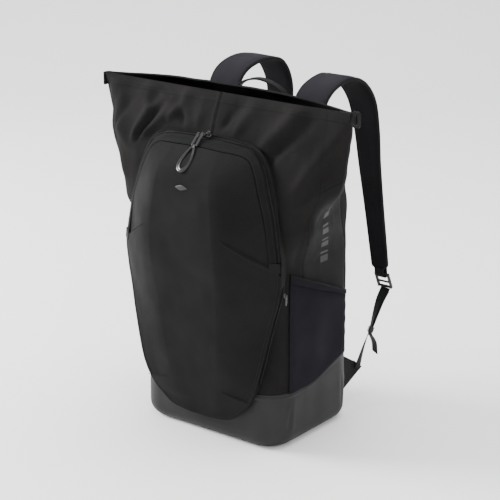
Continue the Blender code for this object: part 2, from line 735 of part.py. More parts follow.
def build_ladder_lock(side, sign):
    """The two-slot buckle at the strap's end, hung on the hinge line at its top bar."""
    place = Vector((sign * LOCK_PIVOT[0], LOCK_PIVOT[1], LOCK_PIVOT[2]))
    pivot = Pivot(f"lock_pivot_{side}", place)
    xs = (-0.0150, -0.0115, 0.0115, 0.0150)
    zs = (-0.0360, -0.0310, -0.0240, -0.0200, -0.0070, -0.0015)
    pierced_plate(f"ladder_lock_{side}", xs, zs, [(1, 1), (1, 3)], 0.0035, "plastic", place, pivot,
                  (LOCK_TILT, 0, 0))


def build_keeper(side, sign):
    """The small plastic keeper, a slotted ring round the webbing above its loose tail."""
    xs = (-0.0130, -0.0112, 0.0112, 0.0130)
    zs = (-0.0045, -0.0022, 0.0022, 0.0045)
    line = smooth_route(mirrored(WEBBING_ROUTE, sign), 2)
    index = KEEPER_POINT
    tangent = (line[index + 1] - line[index - 1]).normalized()
    across = turned_across(WEBBING_ACROSS, index / (len(line) - 1), sign)
    across = (across - tangent * tangent.dot(across)).normalized()
    rotation = Matrix((across, tangent, across.cross(tangent))).transposed()
    pierced_plate(f"keeper_{side}", xs, zs, [(1, 1)], 0.0060, "plastic", line[index], None,
                  rotation.to_euler())


def build_anchor_wing(side, sign):
    """The fabric triangle sewn into the bag's back edge, which holds the webbing's lower end."""
    root_u = 0.3660
    high = skin_out(root_u, 0.106, 0.0012)
    low = skin_out(root_u, 0.042, 0.0012)
    tip_high, tip_low = (Vector(point) for point in WING_TIP)
    normal = (tip_low - high).cross(low - high).normalized()
    half = 0.0010
    rings = []
    for lift in (-half, half):
        ring = [point + normal * lift for point in (high, tip_high, tip_low, low)]
        rings.append([Vector((sign * point.x, point.y, point.z)) for point in ring])
    tube_of_rings(f"anchor_wing_{side}", rings, "webbing")


def build_back(handle):
    """The back pads, the yoke panel that carries the straps, and the top handle."""
    for side, sign in (("right", 1), ("left", -1)):
        place = (sign * PAD_X, DEPTH / 2 + PAD_SIZE[1] / 2 + 0.001, PAD_Z)
        block(f"back_pad_{side}", PAD_SIZE, place, "knit", bevel=0.004)
    first = 0.5 - YOKE_HALF_U
    last = 0.5 + YOKE_HALF_U
    panel("yoke_panel", first, last, level(YOKE_LOW_Z), level(YOKE_HIGH_Z), "webbing",
          offset=lambda across, share: 0.0028, thickness=0.0022)
    route = HANDLE_ARCH + [(-x, y, z) for x, y, z in reversed(HANDLE_ARCH[:-1])]
    line = smooth_route(route, 3)
    rings = []
    half = HANDLE_HALF_WIDTH
    thick = HANDLE_HALF_THICKNESS
    for index, point in enumerate(line):
        tangent = (line[min(index + 1, len(line) - 1)] - line[max(index - 1, 0)]).normalized()
        across = (Vector((0, 1, 0)) - tangent * tangent.y).normalized()
        normal = tangent.cross(across)
        profile = ((half, -thick), (half, thick), (-half, thick), (-half, -thick))
        rings.append([point + across * a + normal * b for a, b in profile])
    tube_of_rings("top_handle", rings, "webbing", handle)


def build_side_pockets():
    """The stretch pockets, drawn tight at their edges and standing off the side at the hem."""
    for side, first, last in (("right", 0.170, BACK_SEAM_U), ("left", -BACK_SEAM_U, -0.170)):
        panel(f"side_pocket_{side}", first, last, lambda u: boot_top(u) + 0.001,
              lambda u: HEM_SIDE_Z - HEM_SLOPE * (u - 0.25), "knit",
              offset=lambda across, share: 0.0022 + 0.0080 * math.sin(math.pi * across) * share)


def build_badge():
    """A plain small lozenge on the pocket's face."""
    half_width = 0.013
    half_height = 0.0035
    centre_z = 0.458
    grids = []
    for lift in (0.0010, 0.0004):
        rows = []
        for b in (-1, 1):
            rows.append([face_point(half_width * a, centre_z + half_height * b, lift) for a in (-1, 0, 1)])
        grids.append(rows)
    slab("pocket_badge", grids[0], grids[1], "mark")


def main():
    clear_scene()
    flap = Pivot("flap_pivot", FLAP_PIVOT)
    collar = Pivot("collar_pivot", COLLAR_PIVOT)
    handle = Pivot("handle_pivot", HANDLE_PIVOT)
    build_boot()
    build_inside()
    build_body()
    build_collar(collar)
    build_front_pocket(flap)
    build_pull(build_sliders(flap))
    build_side_zip()
    build_back(handle)
    build_side_pockets()
    build_carry_system()
    build_badge()


main()
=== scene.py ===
"""Roll-top racket backpack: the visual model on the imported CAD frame.

Frame: metres, +X the wearer's right, -Y the front pocket, +Y the wearer's back, +Z up.
The skin is a surface skin(u, z). u runs once round the bag from the front centre: 0.25 at +X, 0.5 behind.
Folds and slack are one displacement function, wrinkles(u, z), which every panel shares so that seams meet.
"""

import math

import bmesh
import bpy
import numpy as np
from mathutils import Matrix, Vector


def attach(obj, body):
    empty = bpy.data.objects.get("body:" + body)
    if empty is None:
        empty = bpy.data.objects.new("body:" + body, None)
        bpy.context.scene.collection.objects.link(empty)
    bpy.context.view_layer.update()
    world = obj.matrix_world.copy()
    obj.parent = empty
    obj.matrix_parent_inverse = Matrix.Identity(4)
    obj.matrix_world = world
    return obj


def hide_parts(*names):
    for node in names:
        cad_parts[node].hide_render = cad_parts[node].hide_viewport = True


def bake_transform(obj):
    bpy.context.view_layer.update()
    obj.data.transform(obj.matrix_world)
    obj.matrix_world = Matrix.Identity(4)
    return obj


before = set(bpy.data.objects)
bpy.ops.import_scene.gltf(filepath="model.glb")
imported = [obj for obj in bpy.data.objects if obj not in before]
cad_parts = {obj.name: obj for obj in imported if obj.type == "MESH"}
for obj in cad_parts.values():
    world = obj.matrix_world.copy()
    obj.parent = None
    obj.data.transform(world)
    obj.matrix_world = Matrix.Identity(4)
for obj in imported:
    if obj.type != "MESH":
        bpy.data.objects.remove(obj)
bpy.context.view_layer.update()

# Body, as in the CAD
WIDTH = 0.305
DEPTH = 0.235
CORNER = 0.050
FILLET = 0.025
RIM_Z = 0.600
RIM_HALF = 0.259
RIM_FRONT_Y = -0.070
RIM_BACK_Y = -0.033
RIM_END_Y = -0.064
RIM_END_HALF_GAP = 0.004
SHOULDER_SPREAD = 1.18
SHOULDER_TAPER = 1.53
SHOULDER_DEPTH = 0.95
SHOULDER_WARP = 0.045
# Height, share of the way to the shoulder's section, and shares of the way to the rim in X and in Y
SKIN_KNOTS = [
    (0.320, 0.0, 0.0, 0.0), (0.400, 1.0, 0.0, 0.0), (0.450, 1.0, 0.36, 0.06),
    (0.500, 1.0, 0.64, 0.22), (0.545, 1.0, 0.84, 0.50), (0.600, 1.0, 1.0, 1.0),
]
# The cloth's slack on each side, by height: how far it bellies out beyond the CAD's straight sections
LEFT_BELLY = [(0.33, 0.0), (0.40, 0.008), (0.46, 0.011), (0.515, 0.015), (0.56, 0.010), (0.60, 0.0)]
RIGHT_BELLY = [(0.36, 0.0), (0.41, -0.002), (0.46, 0.007), (0.51, 0.003), (0.60, 0.0)]
BACK_RIM_CROWN = 0.006
FABRIC = 0.0015
PERIMETER = 2 * (WIDTH + DEPTH) - 8 * CORNER + 2 * math.pi * CORNER
FRONT_SEAM_U = 0.2047
BACK_SEAM_U = 0.335
BOOT_SIDE_Z = 0.102
BOOT_BACK_Z = 0.130
HEM_SIDE_Z = 0.280
HEM_SLOPE = 0.43
SIDE_TOP_Z = 0.496
SIDE_TOP_DROP = 0.036
SEAM_GAP = 0.0001
SEAM_STEP = 0.0006
SIDES = (("right", 1), ("left", -1))

# Front pocket: half outline from the bottom centre to the top centre, and the dome's depth by height
HALF_OUTLINE = [
    (0.020, 0.0402), (0.060, 0.0455), (0.087, 0.063), (0.104, 0.081), (0.114, 0.097),
    (0.1235, 0.120), (0.134, 0.160), (0.143, 0.200), (0.152, 0.240), (0.162, 0.280),
    (0.1675, 0.316), (0.168, 0.331), (0.1670, 0.346), (0.1625, 0.375), (0.156, 0.410),
    (0.141, 0.460), (0.124, 0.502), (0.108, 0.521), (0.085, 0.530), (0.050, 0.5332),
    (0.020, 0.534),
]
EDGE_DEPTH = [
    (0.040, 0.128), (0.080, 0.133), (0.120, 0.135), (0.200, 0.132), (0.280, 0.1255),
    (0.331, 0.124), (0.410, 0.120), (0.460, 0.116), (0.505, 0.110), (0.534, 0.105),
]
CREST_DEPTH = [
    (0.040, 0.130), (0.080, 0.142), (0.120, 0.150), (0.200, 0.160), (0.280, 0.170),
    (0.331, 0.177), (0.385, 0.181), (0.420, 0.179), (0.462, 0.174), (0.485, 0.166),
    (0.509, 0.142), (0.5235, 0.1225), (0.534, 0.105),
]
CREST_FLAT = 0.40
ZIP_END_Z = 0.346
COIL_WIDTH = 0.0055
BAND_WIDTH = 0.0165
# Seams that shape the pocket's face on each side: start and end (x, z), and how far the face steps in above
DARTS = ((0.083, 0.382, 0.168, 0.331, 0.0042), (0.060, 0.102, 0.118, 0.088, 0.0030))

# Hardware and straps
SLIDER_X = 0.0065
SLIDER_Z = 0.5320
PULL_TILT = math.radians(44)
PULL_LENGTH = 0.078
PULL_LINK = 0.022
PULL_WIDTH = 0.033
SIDE_ZIP_TOP_Z = 0.287
SIDE_ZIP_LOW_Z = 0.125
SIDE_SLIDER_LIFT = 0.0060
SIDE_RING_LIFT = 0.0092
PAD_CENTRE = (0.050, 0.1245, 0.235)
PAD_SIZE = (0.088, 0.310)
STRAP_ROUTES = {
    "right": [
        (0.080, 0.1050, 0.465), (0.090, 0.0910, 0.505), (0.0965, 0.0660, 0.541), (0.0975, 0.0480, 0.568),
        (0.099, 0.0660, 0.592), (0.100, 0.1000, 0.604), (0.101, 0.1300, 0.6045), (0.103, 0.1650, 0.588),
        (0.106, 0.1920, 0.553), (0.110, 0.2035, 0.500), (0.115, 0.2070, 0.440), (0.126, 0.2060, 0.370),
        (0.139, 0.2055, 0.285), (0.144, 0.2065, 0.245),
    ],
    "left": [
        (-0.080, 0.1050, 0.465), (-0.090, 0.0910, 0.505), (-0.0965, 0.0680, 0.545), (-0.0980, 0.0640, 0.577),
        (-0.099, 0.0920, 0.603), (-0.095, 0.1400, 0.613), (-0.088, 0.1850, 0.600), (-0.087, 0.2120, 0.545),
        (-0.098, 0.2120, 0.460), (-0.118, 0.2080, 0.370), (-0.1370, 0.2060, 0.285), (-0.1440, 0.2065, 0.245),
    ],
}
STRAP_TOP_WIDTH = 0.065
STRAP_END_WIDTH = 0.034
LOCK_PIVOT = (0.1450, 0.2080, 0.2405)
LOCK_TILT = math.radians(25)
WEBBING_ROUTE = [
    (0.1450, 0.2240, 0.2065), (0.1430, 0.2080, 0.187), (0.1400, 0.1975, 0.162), (0.1370, 0.1880, 0.135),
    (0.1342, 0.1740, 0.108), (0.1342, 0.1600, 0.0830), (0.1346, 0.1520, 0.0690),
]
WEBBING_ACROSS = [(0.0, (1, 0, 0)), (0.5, (0.60, -0.75, 0.30)), (1.0, (0.0, -0.81, 0.58))]
WING_TIP = [(0.1312, 0.1455, 0.0850), (0.1325, 0.1680, 0.0680)]
TAIL_ROUTE = [(0.1374, 0.1975, 0.1235), (0.1370, 0.2020, 0.106), (0.1365, 0.2070, 0.084)]
WEBBING_WIDTH = 0.020
WEBBING_THICKNESS = 0.0015
WING_ROOT_U = 0.3660
WING_ROOT_HEIGHTS = (0.106, 0.042)
HANDLE_ARCH = [
    (-0.058, 0.0655, 0.5265), (-0.058, 0.0500, 0.557), (-0.044, 0.0410, 0.589), (0.0, 0.0375, 0.6035),
]

# Camera, from the point it looks at, and the lights: name, place, size in metres and power in watts
CAMERA_TARGET = (0, 0, 0.3)
CAMERA_AZIMUTH = math.radians(37.8)
CAMERA_ELEVATION = math.radians(18.08)
CAMERA_DISTANCE = 2.91
CAMERA_LENS = 120.2
CAMERA_SHIFT = 0.0068
WORLD_STRENGTH = 1.25
LIGHT_TARGET = (0, 0, 0.32)
LIGHTS = (
    ("key", (-2.5, -1.3, 1.8), 1.2, 215.0),
    ("fill", (2.4, -1.6, 1.2), 2.0, 30.0),
    ("top", (0.2, 0.6, 3.0), 2.2, 80.0),
)
# Floor's section away from the camera: distance and height
BACKDROP = ((-6.0, 0.0), (2.6, 0.0), (3.4, 0.15), (3.9, 0.7), (4.0, 1.6), (4.0, 5.0))

# Soft folds of the loose upper body: u and z at both ends, half width and height of the ridge
FOLDS = [
    (-0.168, 0.490, -0.214, 0.590, 0.0190, 0.0085), (-0.198, 0.470, -0.226, 0.580, 0.0090, 0.0040),
    (-0.190, 0.515, -0.176, 0.560, 0.0080, -0.0042), (-0.152, 0.500, -0.126, 0.560, 0.0095, 0.0080),
    (-0.134, 0.508, -0.094, 0.552, 0.0085, 0.0075), (-0.143, 0.503, -0.108, 0.560, 0.0060, -0.0060),
    (-0.132, 0.562, -0.116, 0.590, 0.0160, -0.0075), (-0.086, 0.545, -0.060, 0.590, 0.0100, 0.0058),
    (-0.058, 0.540, -0.078, 0.575, 0.0080, -0.0052), (-0.100, 0.575, -0.150, 0.596, 0.0080, 0.0040),
    (-0.030, 0.540, -0.022, 0.585, 0.0120, 0.0030), (0.020, 0.545, 0.044, 0.585, 0.0100, -0.0048),
    (0.046, 0.540, 0.078, 0.590, 0.0140, 0.0060), (0.098, 0.522, 0.158, 0.592, 0.0160, 0.0090),
    (0.118, 0.508, 0.176, 0.585, 0.0120, -0.0075), (0.165, 0.468, 0.236, 0.570, 0.0150, 0.0078),
    (0.172, 0.440, 0.225, 0.520, 0.0120, -0.0050), (-0.172, 0.430, -0.205, 0.520, 0.0170, 0.0056),
    (-0.240, 0.500, -0.235, 0.590, 0.0160, -0.0025), (0.420, 0.470, 0.400, 0.590, 0.0200, 0.0035),
    (0.500, 0.480, 0.510, 0.585, 0.0200, -0.0030), (0.590, 0.470, 0.615, 0.590, 0.0200, 0.0035),
    (0.184, 0.320, 0.198, 0.450, 0.0150, -0.0022), (-0.184, 0.320, -0.198, 0.450, 0.0150, -0.0022),
]


# Shape functions

def mixed(first, last, share):
    return first + (last - first) * share


def eased(low, high, value):
    """0 below low, 1 above high, and a smooth step between them."""
    share = np.clip((np.asarray(value, float) - low) / (high - low), 0.0, 1.0)
    return share * share * (3 - 2 * share)


def curve(value, keys, heights):
    """Smooth curve through a table, flat where the table turns."""
    keys = np.asarray(keys, float)
    heights = np.asarray(heights, float)
    value = np.asarray(value, float)
    span = np.diff(keys)
    rise = np.diff(heights) / span
    slope = np.zeros(len(keys))
    product = rise[:-1] * rise[1:]
    total = np.where(product > 0, rise[:-1] + rise[1:], 1.0)
    slope[1:-1] = np.where(product > 0, 2 * product / total, 0.0)
    slope[-1] = rise[-1]
    index = np.clip(np.searchsorted(keys, value) - 1, 0, len(keys) - 2)
    t = np.clip((value - keys[index]) / span[index], 0.0, 1.0)
    start = heights[index] * (2 * t**3 - 3 * t**2 + 1) + slope[index] * span[index] * (t**3 - 2 * t**2 + t)
    return start + heights[index + 1] * (3 * t**2 - 2 * t**3) + slope[index + 1] * span[index] * (t**3 - t**2)


def grain(x, y, seed=0, period=None):
    """Smooth value noise from -1 to 1 on a unit lattice; a period in x makes it close round the bag."""
    x = np.asarray(x, float) + 31.7 * seed
    y = np.asarray(y, float) + 17.3 * seed
    cell_x = np.floor(x)
    cell_y = np.floor(y)
    along = eased(0, 1, x - cell_x)
    up = eased(0, 1, y - cell_y)

    def corner(i, k):
        column = cell_x + i
        if period is not None:
            first = math.floor(31.7 * seed - 0.25 * period)
            column = first + np.mod(column - first, period)
        value = np.sin(column * 127.1 + (cell_y + k) * 311.7) * 43758.5453
        return 2 * (value - np.floor(value)) - 1

    low = mixed(corner(0, 0), corner(1, 0), along)
    high = mixed(corner(0, 1), corner(1, 1), along)
    return mixed(low, high, up)


def stacked(x, y, z):
    return np.stack(np.broadcast_arrays(x, y, z), axis=-1).astype(float)


def path_lengths(line):
    """Distance along a line of points, from 0 at its first."""
    return np.r_[0, np.cumsum(np.linalg.norm(np.diff(line, axis=0), axis=-1))]


def resampled(even, lengths, values):
    """Three-part values given at lengths, read at the distances even."""
    values = np.asarray(values)
    return np.stack([np.interp(even, lengths, values[:, axis]) for axis in range(3)], axis=-1)


def skin_uvs(u, z):
    """Texture coordinates of the skin, in metres round the base and up."""
    return np.stack([u * PERIMETER, z], axis=-1)


def unit(vectors):
    vectors = np.asarray(vectors, float)
    return vectors / np.maximum(np.linalg.norm(vectors, axis=-1, keepdims=True), 1e-12)


def rounded_section(u):
    """Points of the base's rounded rectangle at arc fractions from 0 to 0.5, and their outward normals."""
    straight = WIDTH / 2 - CORNER
    arc = math.pi / 2 * CORNER
    side = DEPTH - 2 * CORNER
    s = np.clip(u, 0.0, 0.5) * PERIMETER
    turn_a = np.clip((s - straight) / CORNER, 0, math.pi / 2)
    turn_b = np.clip((s - straight - arc - side) / CORNER, 0, math.pi / 2)
    along = np.clip(s - straight - arc, 0, side)
    tail = np.maximum(s - straight - 2 * arc - side, 0)
    x = np.minimum(s, straight) + CORNER * np.sin(turn_a) - CORNER * (1 - np.cos(turn_b)) - tail
    y = CORNER * (1 - np.cos(turn_a)) - DEPTH / 2 + along + CORNER * np.sin(turn_b)
    return x, y, np.sin(turn_a + turn_b), -np.cos(turn_a + turn_b)


def rim_section(u):
    """Points of the mouth's flat lens at arc fractions from 0 to 0.5."""
    end_u = 0.245
    front = np.clip(u / end_u, 0, 1)
    back = np.clip((0.5 - u) / end_u, 0, 1)
    across = np.clip((u - end_u) / (0.5 - 2 * end_u), 0, 1)
    front_y = mixed(RIM_FRONT_Y, RIM_END_Y - RIM_END_HALF_GAP, front**2)
    back_y = mixed(RIM_BACK_Y, RIM_END_Y + RIM_END_HALF_GAP, back**2)
    cap_y = RIM_END_Y + RIM_END_HALF_GAP * (2 * across - 1)
    y = np.where(u < end_u, front_y, np.where(u > 0.5 - end_u, back_y, cap_y))
    return RIM_HALF * np.minimum(front, back), y


def skin(u, z):
    """Points on the bag's outer surface."""
    u, z = np.broadcast_arrays(np.asarray(u, float), np.asarray(z, float))
    around = np.mod(u, 1.0)
    mirror = around > 0.5
    around = np.where(mirror, 1.0 - around, around)
    x, y, normal_x, normal_y = rounded_section(around)
    low = FILLET - np.sqrt(np.maximum(FILLET**2 - np.maximum(FILLET - z, 0) ** 2, 0))
    x = x - normal_x * low
    y = y - normal_y * low
    keys = [knot[0] for knot in SKIN_KNOTS]
    flare, widen, lean = [curve(z, keys, [knot[column] for knot in SKIN_KNOTS]) for column in (1, 2, 3)]
    wide_x, wide_y, _, _ = rounded_section(around - SHOULDER_WARP * np.sin(2 * math.pi * around))
    wide_x = wide_x * (SHOULDER_SPREAD - SHOULDER_TAPER * wide_y)
    x = mixed(x, wide_x, flare)
    y = mixed(y, wide_y * SHOULDER_DEPTH, flare)
    rim_x, rim_y = rim_section(around)
    x = mixed(x, rim_x, widen)
    y = mixed(y, rim_y, lean)
    belly = np.where(mirror, curve(z, *zip(*LEFT_BELLY)), curve(z, *zip(*RIGHT_BELLY)))
    crown = BACK_RIM_CROWN * (1 - (x / RIM_HALF) ** 2) * eased(0.55, 0.60, z) * eased(0.25, 0.32, around)
    x = x + belly * np.clip(x / 0.20, 0, 1) ** 2
    return stacked(np.where(mirror, -x, x), y, z + crown)


def skin_normal(u, z):
    step = 0.003
    low = np.maximum(z, FILLET)
    along = skin(u + step, low) - skin(u - step, low)
    rise = skin(u, low + step) - skin(u, low - step)
    return unit(np.cross(along, rise))


def skin_out(u, z, distance):
    """The skin's points moved outward along the normal."""
    u, z = np.broadcast_arrays(np.asarray(u, float), np.asarray(z, float))
    return skin(u, z) + skin_normal(u, z) * np.asarray(distance)[..., None]


def wrinkles(u, z):
    """Outward displacement of the loose cloth: soft folds, creases and slack, flat near the boot."""
    u, z = np.broadcast_arrays(np.asarray(u, float), np.asarray(z, float))
    total = np.zeros_like(u)
    for u0, z0, u1, z1, width, height in FOLDS:
        run = np.array([(u1 - u0) * PERIMETER, z1 - z0])
        length = float(np.hypot(*run))
        run = run / length
        round_by = np.mod(u - u0 + 0.5, 1.0) - 0.5
        from_start = np.stack([round_by * PERIMETER, z - z0], axis=-1)
        along = (from_start @ run) / length
        across = from_start @ np.array([-run[1], run[0]])
        spread = width * mixed(0.55, 1.25, np.clip(along, 0, 1))
        fade = eased(-0.22, 0.25, along) * (1 - eased(0.85, 1.30, along))
        total += height * fade * np.exp(-(across / spread) ** 2)
    bent = u + 0.020 * grain(u * 9, z * 11, 7, 9)
    slack = 0.0026 * grain(bent * 15, z * 12, 1, 15) + 0.0014 * grain(bent * 38 + z * 6, z * 24, 2, 38)
    fine = 0.00035 * grain(u * 110, z * 85, 3, 110)
    upper = eased(0.30, 0.46, z)
    loose = mixed(0.45, 1.0, upper)
    settle = eased(0.105, 0.17, z) * mixed(1.0, 0.35, eased(0.585, 0.600, z))
    return (total + (slack + fine) * loose) * settle


def boot_top(u):
    around = np.mod(u, 1.0)
    return mixed(BOOT_SIDE_Z, BOOT_BACK_Z, eased(0.22, 0.34, np.minimum(around, 1.0 - around)))


def side_top(u):
    return SIDE_TOP_Z - SIDE_TOP_DROP * np.minimum((BACK_SEAM_U - 0.01 - np.abs(u)) / 0.12, 1.0) ** 2


def above_boot(u):
    return boot_top(u) + SEAM_STEP


def above_side(u):
    return side_top(u) + SEAM_STEP


def rim_height(u):
    return RIM_Z + 0 * u


def pocket_half(z):
    return np.interp(z, [p[1] for p in HALF_OUTLINE], [p[0] for p in HALF_OUTLINE])


def dart(x, z):
    """Change of depth at the pocket's seams: the face swells below each seam and sits back above it."""
    total = np.zeros(np.broadcast(x, z).shape)
    for x0, z0, x1, z1, depth in DARTS:
        run = np.array([x1 - x0, z1 - z0])
        length = float(np.hypot(*run))
        run = run / length
        from_start = np.stack(np.broadcast_arrays(np.abs(x) - x0, z - z0), axis=-1)
        along = (from_start @ run) / length
        across = from_start @ np.array([-run[1], run[0]])
        fade = eased(-0.05, 0.55, along)
        above = eased(-0.0008, 0.0012, across) * np.exp(-(np.maximum(across, 0) / 0.030) ** 2)
        below = eased(0.0008, -0.0012, across) * np.exp(-(np.minimum(across, 0) / 0.022) ** 2)
        total += fade * depth * (0.35 * below - 0.65 * above)
    return total


def pocket_slack(x, z):
    """Gentle unevenness of the pocket's face."""
    return 0.0010 * grain(x * 18, z * 15, 5) + 0.0006 * grain(x * 46, z * 40, 6)


def face_point(x, z, lift=0.0, detail=True):
    """Points of the pocket's domed front at x and z, lifted outward by lift."""
    x, z = np.broadcast_arrays(np.asarray(x, float), np.asarray(z, float))
    half = pocket_half(z)
    share = np.minimum(np.abs(x) / np.maximum(half, 0.085), 1.0)
    slope = np.maximum(share - CREST_FLAT, 0.0) / (1 - CREST_FLAT)
    crest = curve(z, *zip(*CREST_DEPTH))
    edge = curve(z, *zip(*EDGE_DEPTH))
    depth = mixed(crest, edge, slope**1.45)
    if detail:
        inside = eased(0.0, 0.030, half - np.abs(x)) * eased(0.0, 0.02, 0.534 - z)
        depth = depth + pocket_slack(x, z) * inside + dart(x, z) * eased(0.0, 0.006, half - np.abs(x))
    return stacked(x, -depth - lift, z)


def dense_outline(count=150):
    """The pocket's half outline at even spacing, as an array of (x, z)."""
    points = np.array(HALF_OUTLINE)
    lengths = np.r_[0, np.cumsum(np.hypot(*np.diff(points, axis=0).T))]
    even = np.linspace(0, lengths[-1], count)
    return np.stack([curve(even, lengths, points[:, 0]), curve(even, lengths, points[:, 1])], axis=-1)


def inset_outline(points, distance):
    """A half outline moved inward by a distance in the X-Z plane."""
    run = unit(np.gradient(points, axis=0))
    return points + np.stack([-run[:, 1], run[:, 0]], axis=-1) * distance


def both_sides(half):
    """A path up the +X side and down the -X side."""
    other = half[::-1] * np.array([-1.0, 1.0])
    return np.concatenate([half, other])


def gusset_point(x, z, share):
    """Points of the pocket's side wall, from its foot on the skin, 0, to the domed front's edge, 1."""
    foot = skin_out(x * 0.965 / PERIMETER, z + (0.29 - z) * 0.012, 0.0010 + 0 * x)
    return mixed(foot, face_point(x, z, -0.0010), np.asarray(share)[..., None])


def smooth_route(points, per_span):
    """Points of a Catmull-Rom curve through a route."""
    rows = np.array(points, float)
    ends = np.concatenate([[rows[0] * 2 - rows[1]], rows, [rows[-1] * 2 - rows[-2]]])
    out = []
    for index in range(1, len(ends) - 2):
        p0, p1, p2, p3 = ends[index - 1:index + 3]
        for step in range(per_span):
            t = step / per_span
            out.append(0.5 * (2 * p1 + (p2 - p0) * t + (2 * p0 - 5 * p1 + 4 * p2 - p3) * t**2
                              + (3 * p1 - p0 - 3 * p2 + p3) * t**3))
    return np.array(out + [rows[-1]])


def route_frame(line, across):
    """Tangent, width direction and normal at each point of a line, for given rough width directions."""
    tangent = unit(np.gradient(line, axis=0))
    across = np.broadcast_to(np.asarray(across, float), line.shape)
    across = unit(across - tangent * np.sum(tangent * across, axis=-1, keepdims=True))
    return tangent, across, np.cross(tangent, across)


# Material helpers

class Graph:
    """Short ways to add nodes to one material."""

    def __init__(self, name, roughness, sheen=0.0, specular=0.25, coat=0.0):
        self.material = bpy.data.materials.new(name)
        self.material.use_nodes = True
        self.tree = self.material.node_tree
        self.shader = self.tree.nodes["Principled BSDF"]
        self.shader.inputs["Roughness"].default_value = roughness
        self.shader.inputs["Sheen Weight"].default_value = sheen
        self.shader.inputs["Sheen Roughness"].default_value = 0.5
        self.shader.inputs["Specular IOR Level"].default_value = specular
        self.shader.inputs["Coat Weight"].default_value = coat
        self.uv = self.tree.nodes.new("ShaderNodeUVMap").outputs["UV"]

    def link(self, source, socket):
        if hasattr(source, "is_output"):
            self.tree.links.new(source, socket)
        else:
            socket.default_value = source

    def math(self, operation, first, second=0.0, third=0.0):
        node = self.tree.nodes.new("ShaderNodeMath")
        node.operation = operation
        for value, socket in zip((first, second, third), node.inputs):
            self.link(value, socket)
        return node.outputs[0]

    def split(self, vector):
        node = self.tree.nodes.new("ShaderNodeSeparateXYZ")
        self.link(vector, node.inputs[0])
        return node.outputs[0], node.outputs[1]

    def noise(self, scale, detail=3.0, roughness=0.55):
        node = self.tree.nodes.new("ShaderNodeTexNoise")
        self.link(self.uv, node.inputs["Vector"])
        node.inputs["Scale"].default_value = scale
        node.inputs["Detail"].default_value = detail
        node.inputs["Roughness"].default_value = roughness
        return node.outputs["Fac"]

    def between(self, value, low, high):
        """Value stretched so that low gives 0 and high gives 1, clamped."""
        node = self.tree.nodes.new("ShaderNodeMapRange")
        self.link(value, node.inputs["Value"])
        node.inputs["From Min"].default_value = low
        node.inputs["From Max"].default_value = high
        return node.outputs["Result"]

    def blend(self, share, first, second):
        node = self.tree.nodes.new("ShaderNodeMix")
        node.data_type = "RGBA"
        self.link(share, node.inputs[0])
        self.link((*first, 1.0) if isinstance(first, tuple) else first, node.inputs[6])
        self.link((*second, 1.0) if isinstance(second, tuple) else second, node.inputs[7])
        return node.outputs[2]

    def colour(self, value):
        self.link((*value, 1.0) if isinstance(value, tuple) else value, self.shader.inputs["Base Color"])

    def bump(self, height, distance, strength=1.0):
        node = self.tree.nodes.new("ShaderNodeBump")
        node.inputs["Strength"].default_value = strength
        node.inputs["Distance"].default_value = distance
        self.link(height, node.inputs["Height"])
        self.link(node.outputs["Normal"], self.shader.inputs["Normal"])


def threads(graph, pitch_x, pitch_y):
    """Plain weave: height of the thread on top, and which way it runs, in alternate cells."""
    x, y = graph.split(graph.uv)
    x = graph.math("MULTIPLY", x, 1 / pitch_x)
    y = graph.math("MULTIPLY", y, 1 / pitch_y)
    cells = graph.math("ADD", graph.math("FLOOR", x), graph.math("FLOOR", y))
    turn = graph.math("FLOORED_MODULO", cells, 2.0)
    warp = graph.math("ABSOLUTE", graph.math("SINE", graph.math("MULTIPLY", x, math.pi)))
    weft = graph.math("ABSOLUTE", graph.math("SINE", graph.math("MULTIPLY", y, math.pi)))
    kept = graph.math("MULTIPLY", warp, turn)
    other = graph.math("MULTIPLY", weft, graph.math("SUBTRACT", 1.0, turn))
    return graph.math("ADD", kept, other), turn


def chevrons(graph, pitch_x, pitch_y, lean):
    """Knit or herringbone: rows of slanted ribs that meet in a V."""
    x, y = graph.split(graph.uv)
    across = graph.math("MULTIPLY", x, 1 / pitch_x)
    inside = graph.math("ABSOLUTE", graph.math("SUBTRACT", graph.math("FRACT", across), 0.5))
    rows = graph.math("ADD", graph.math("MULTIPLY", y, 1 / pitch_y), graph.math("MULTIPLY", inside, lean))
    ribs = graph.math("ABSOLUTE", graph.math("SINE", graph.math("MULTIPLY", rows, math.pi)))
    turns = graph.math("MULTIPLY", across, math.pi)
    edge = graph.math("SQRT", graph.math("ABSOLUTE", graph.math("SINE", turns)))
    return graph.math("MULTIPLY", ribs, edge)


def mottled(graph, base, light, height, share=0.35):
    """Colour darker where the surface's threads and grain sit low, painted shade in their hollows, and a tone
    that varies slowly and at random over the cloth, with a few pale flecks of wear.
    """
    slow = graph.between(graph.noise(9.0, 4.0), 0.35, 0.70)
    quick = graph.between(graph.noise(420.0, 2.0), 0.35, 0.70)
    # Painted shade: the height of the threads darkens the colour in their hollows and lightens their crowns.
    painted_thread_shade = graph.math("MULTIPLY", height, share)
    total = graph.math("ADD", painted_thread_shade, graph.math("MULTIPLY", slow, 0.30))
    total = graph.math("ADD", total, graph.math("MULTIPLY", quick, 0.22))
    graph.colour(graph.blend(total, base, light))
    rough = graph.math("MULTIPLY_ADD", slow, -0.10, graph.shader.inputs["Roughness"].default_value + 0.04)
    graph.link(rough, graph.shader.inputs["Roughness"])


def woven(name, base, light, roughness, pitch, depth, sheen=0.0):
    """Plain woven cloth."""
    graph = Graph(name, roughness, sheen, 0.05)
    height, _ = threads(graph, pitch, pitch)
    mottled(graph, base, light, height)
    slub = graph.math("MULTIPLY", graph.noise(260.0, 3.0), 0.7)
    graph.bump(graph.math("ADD", height, slub), depth)
    return graph.material


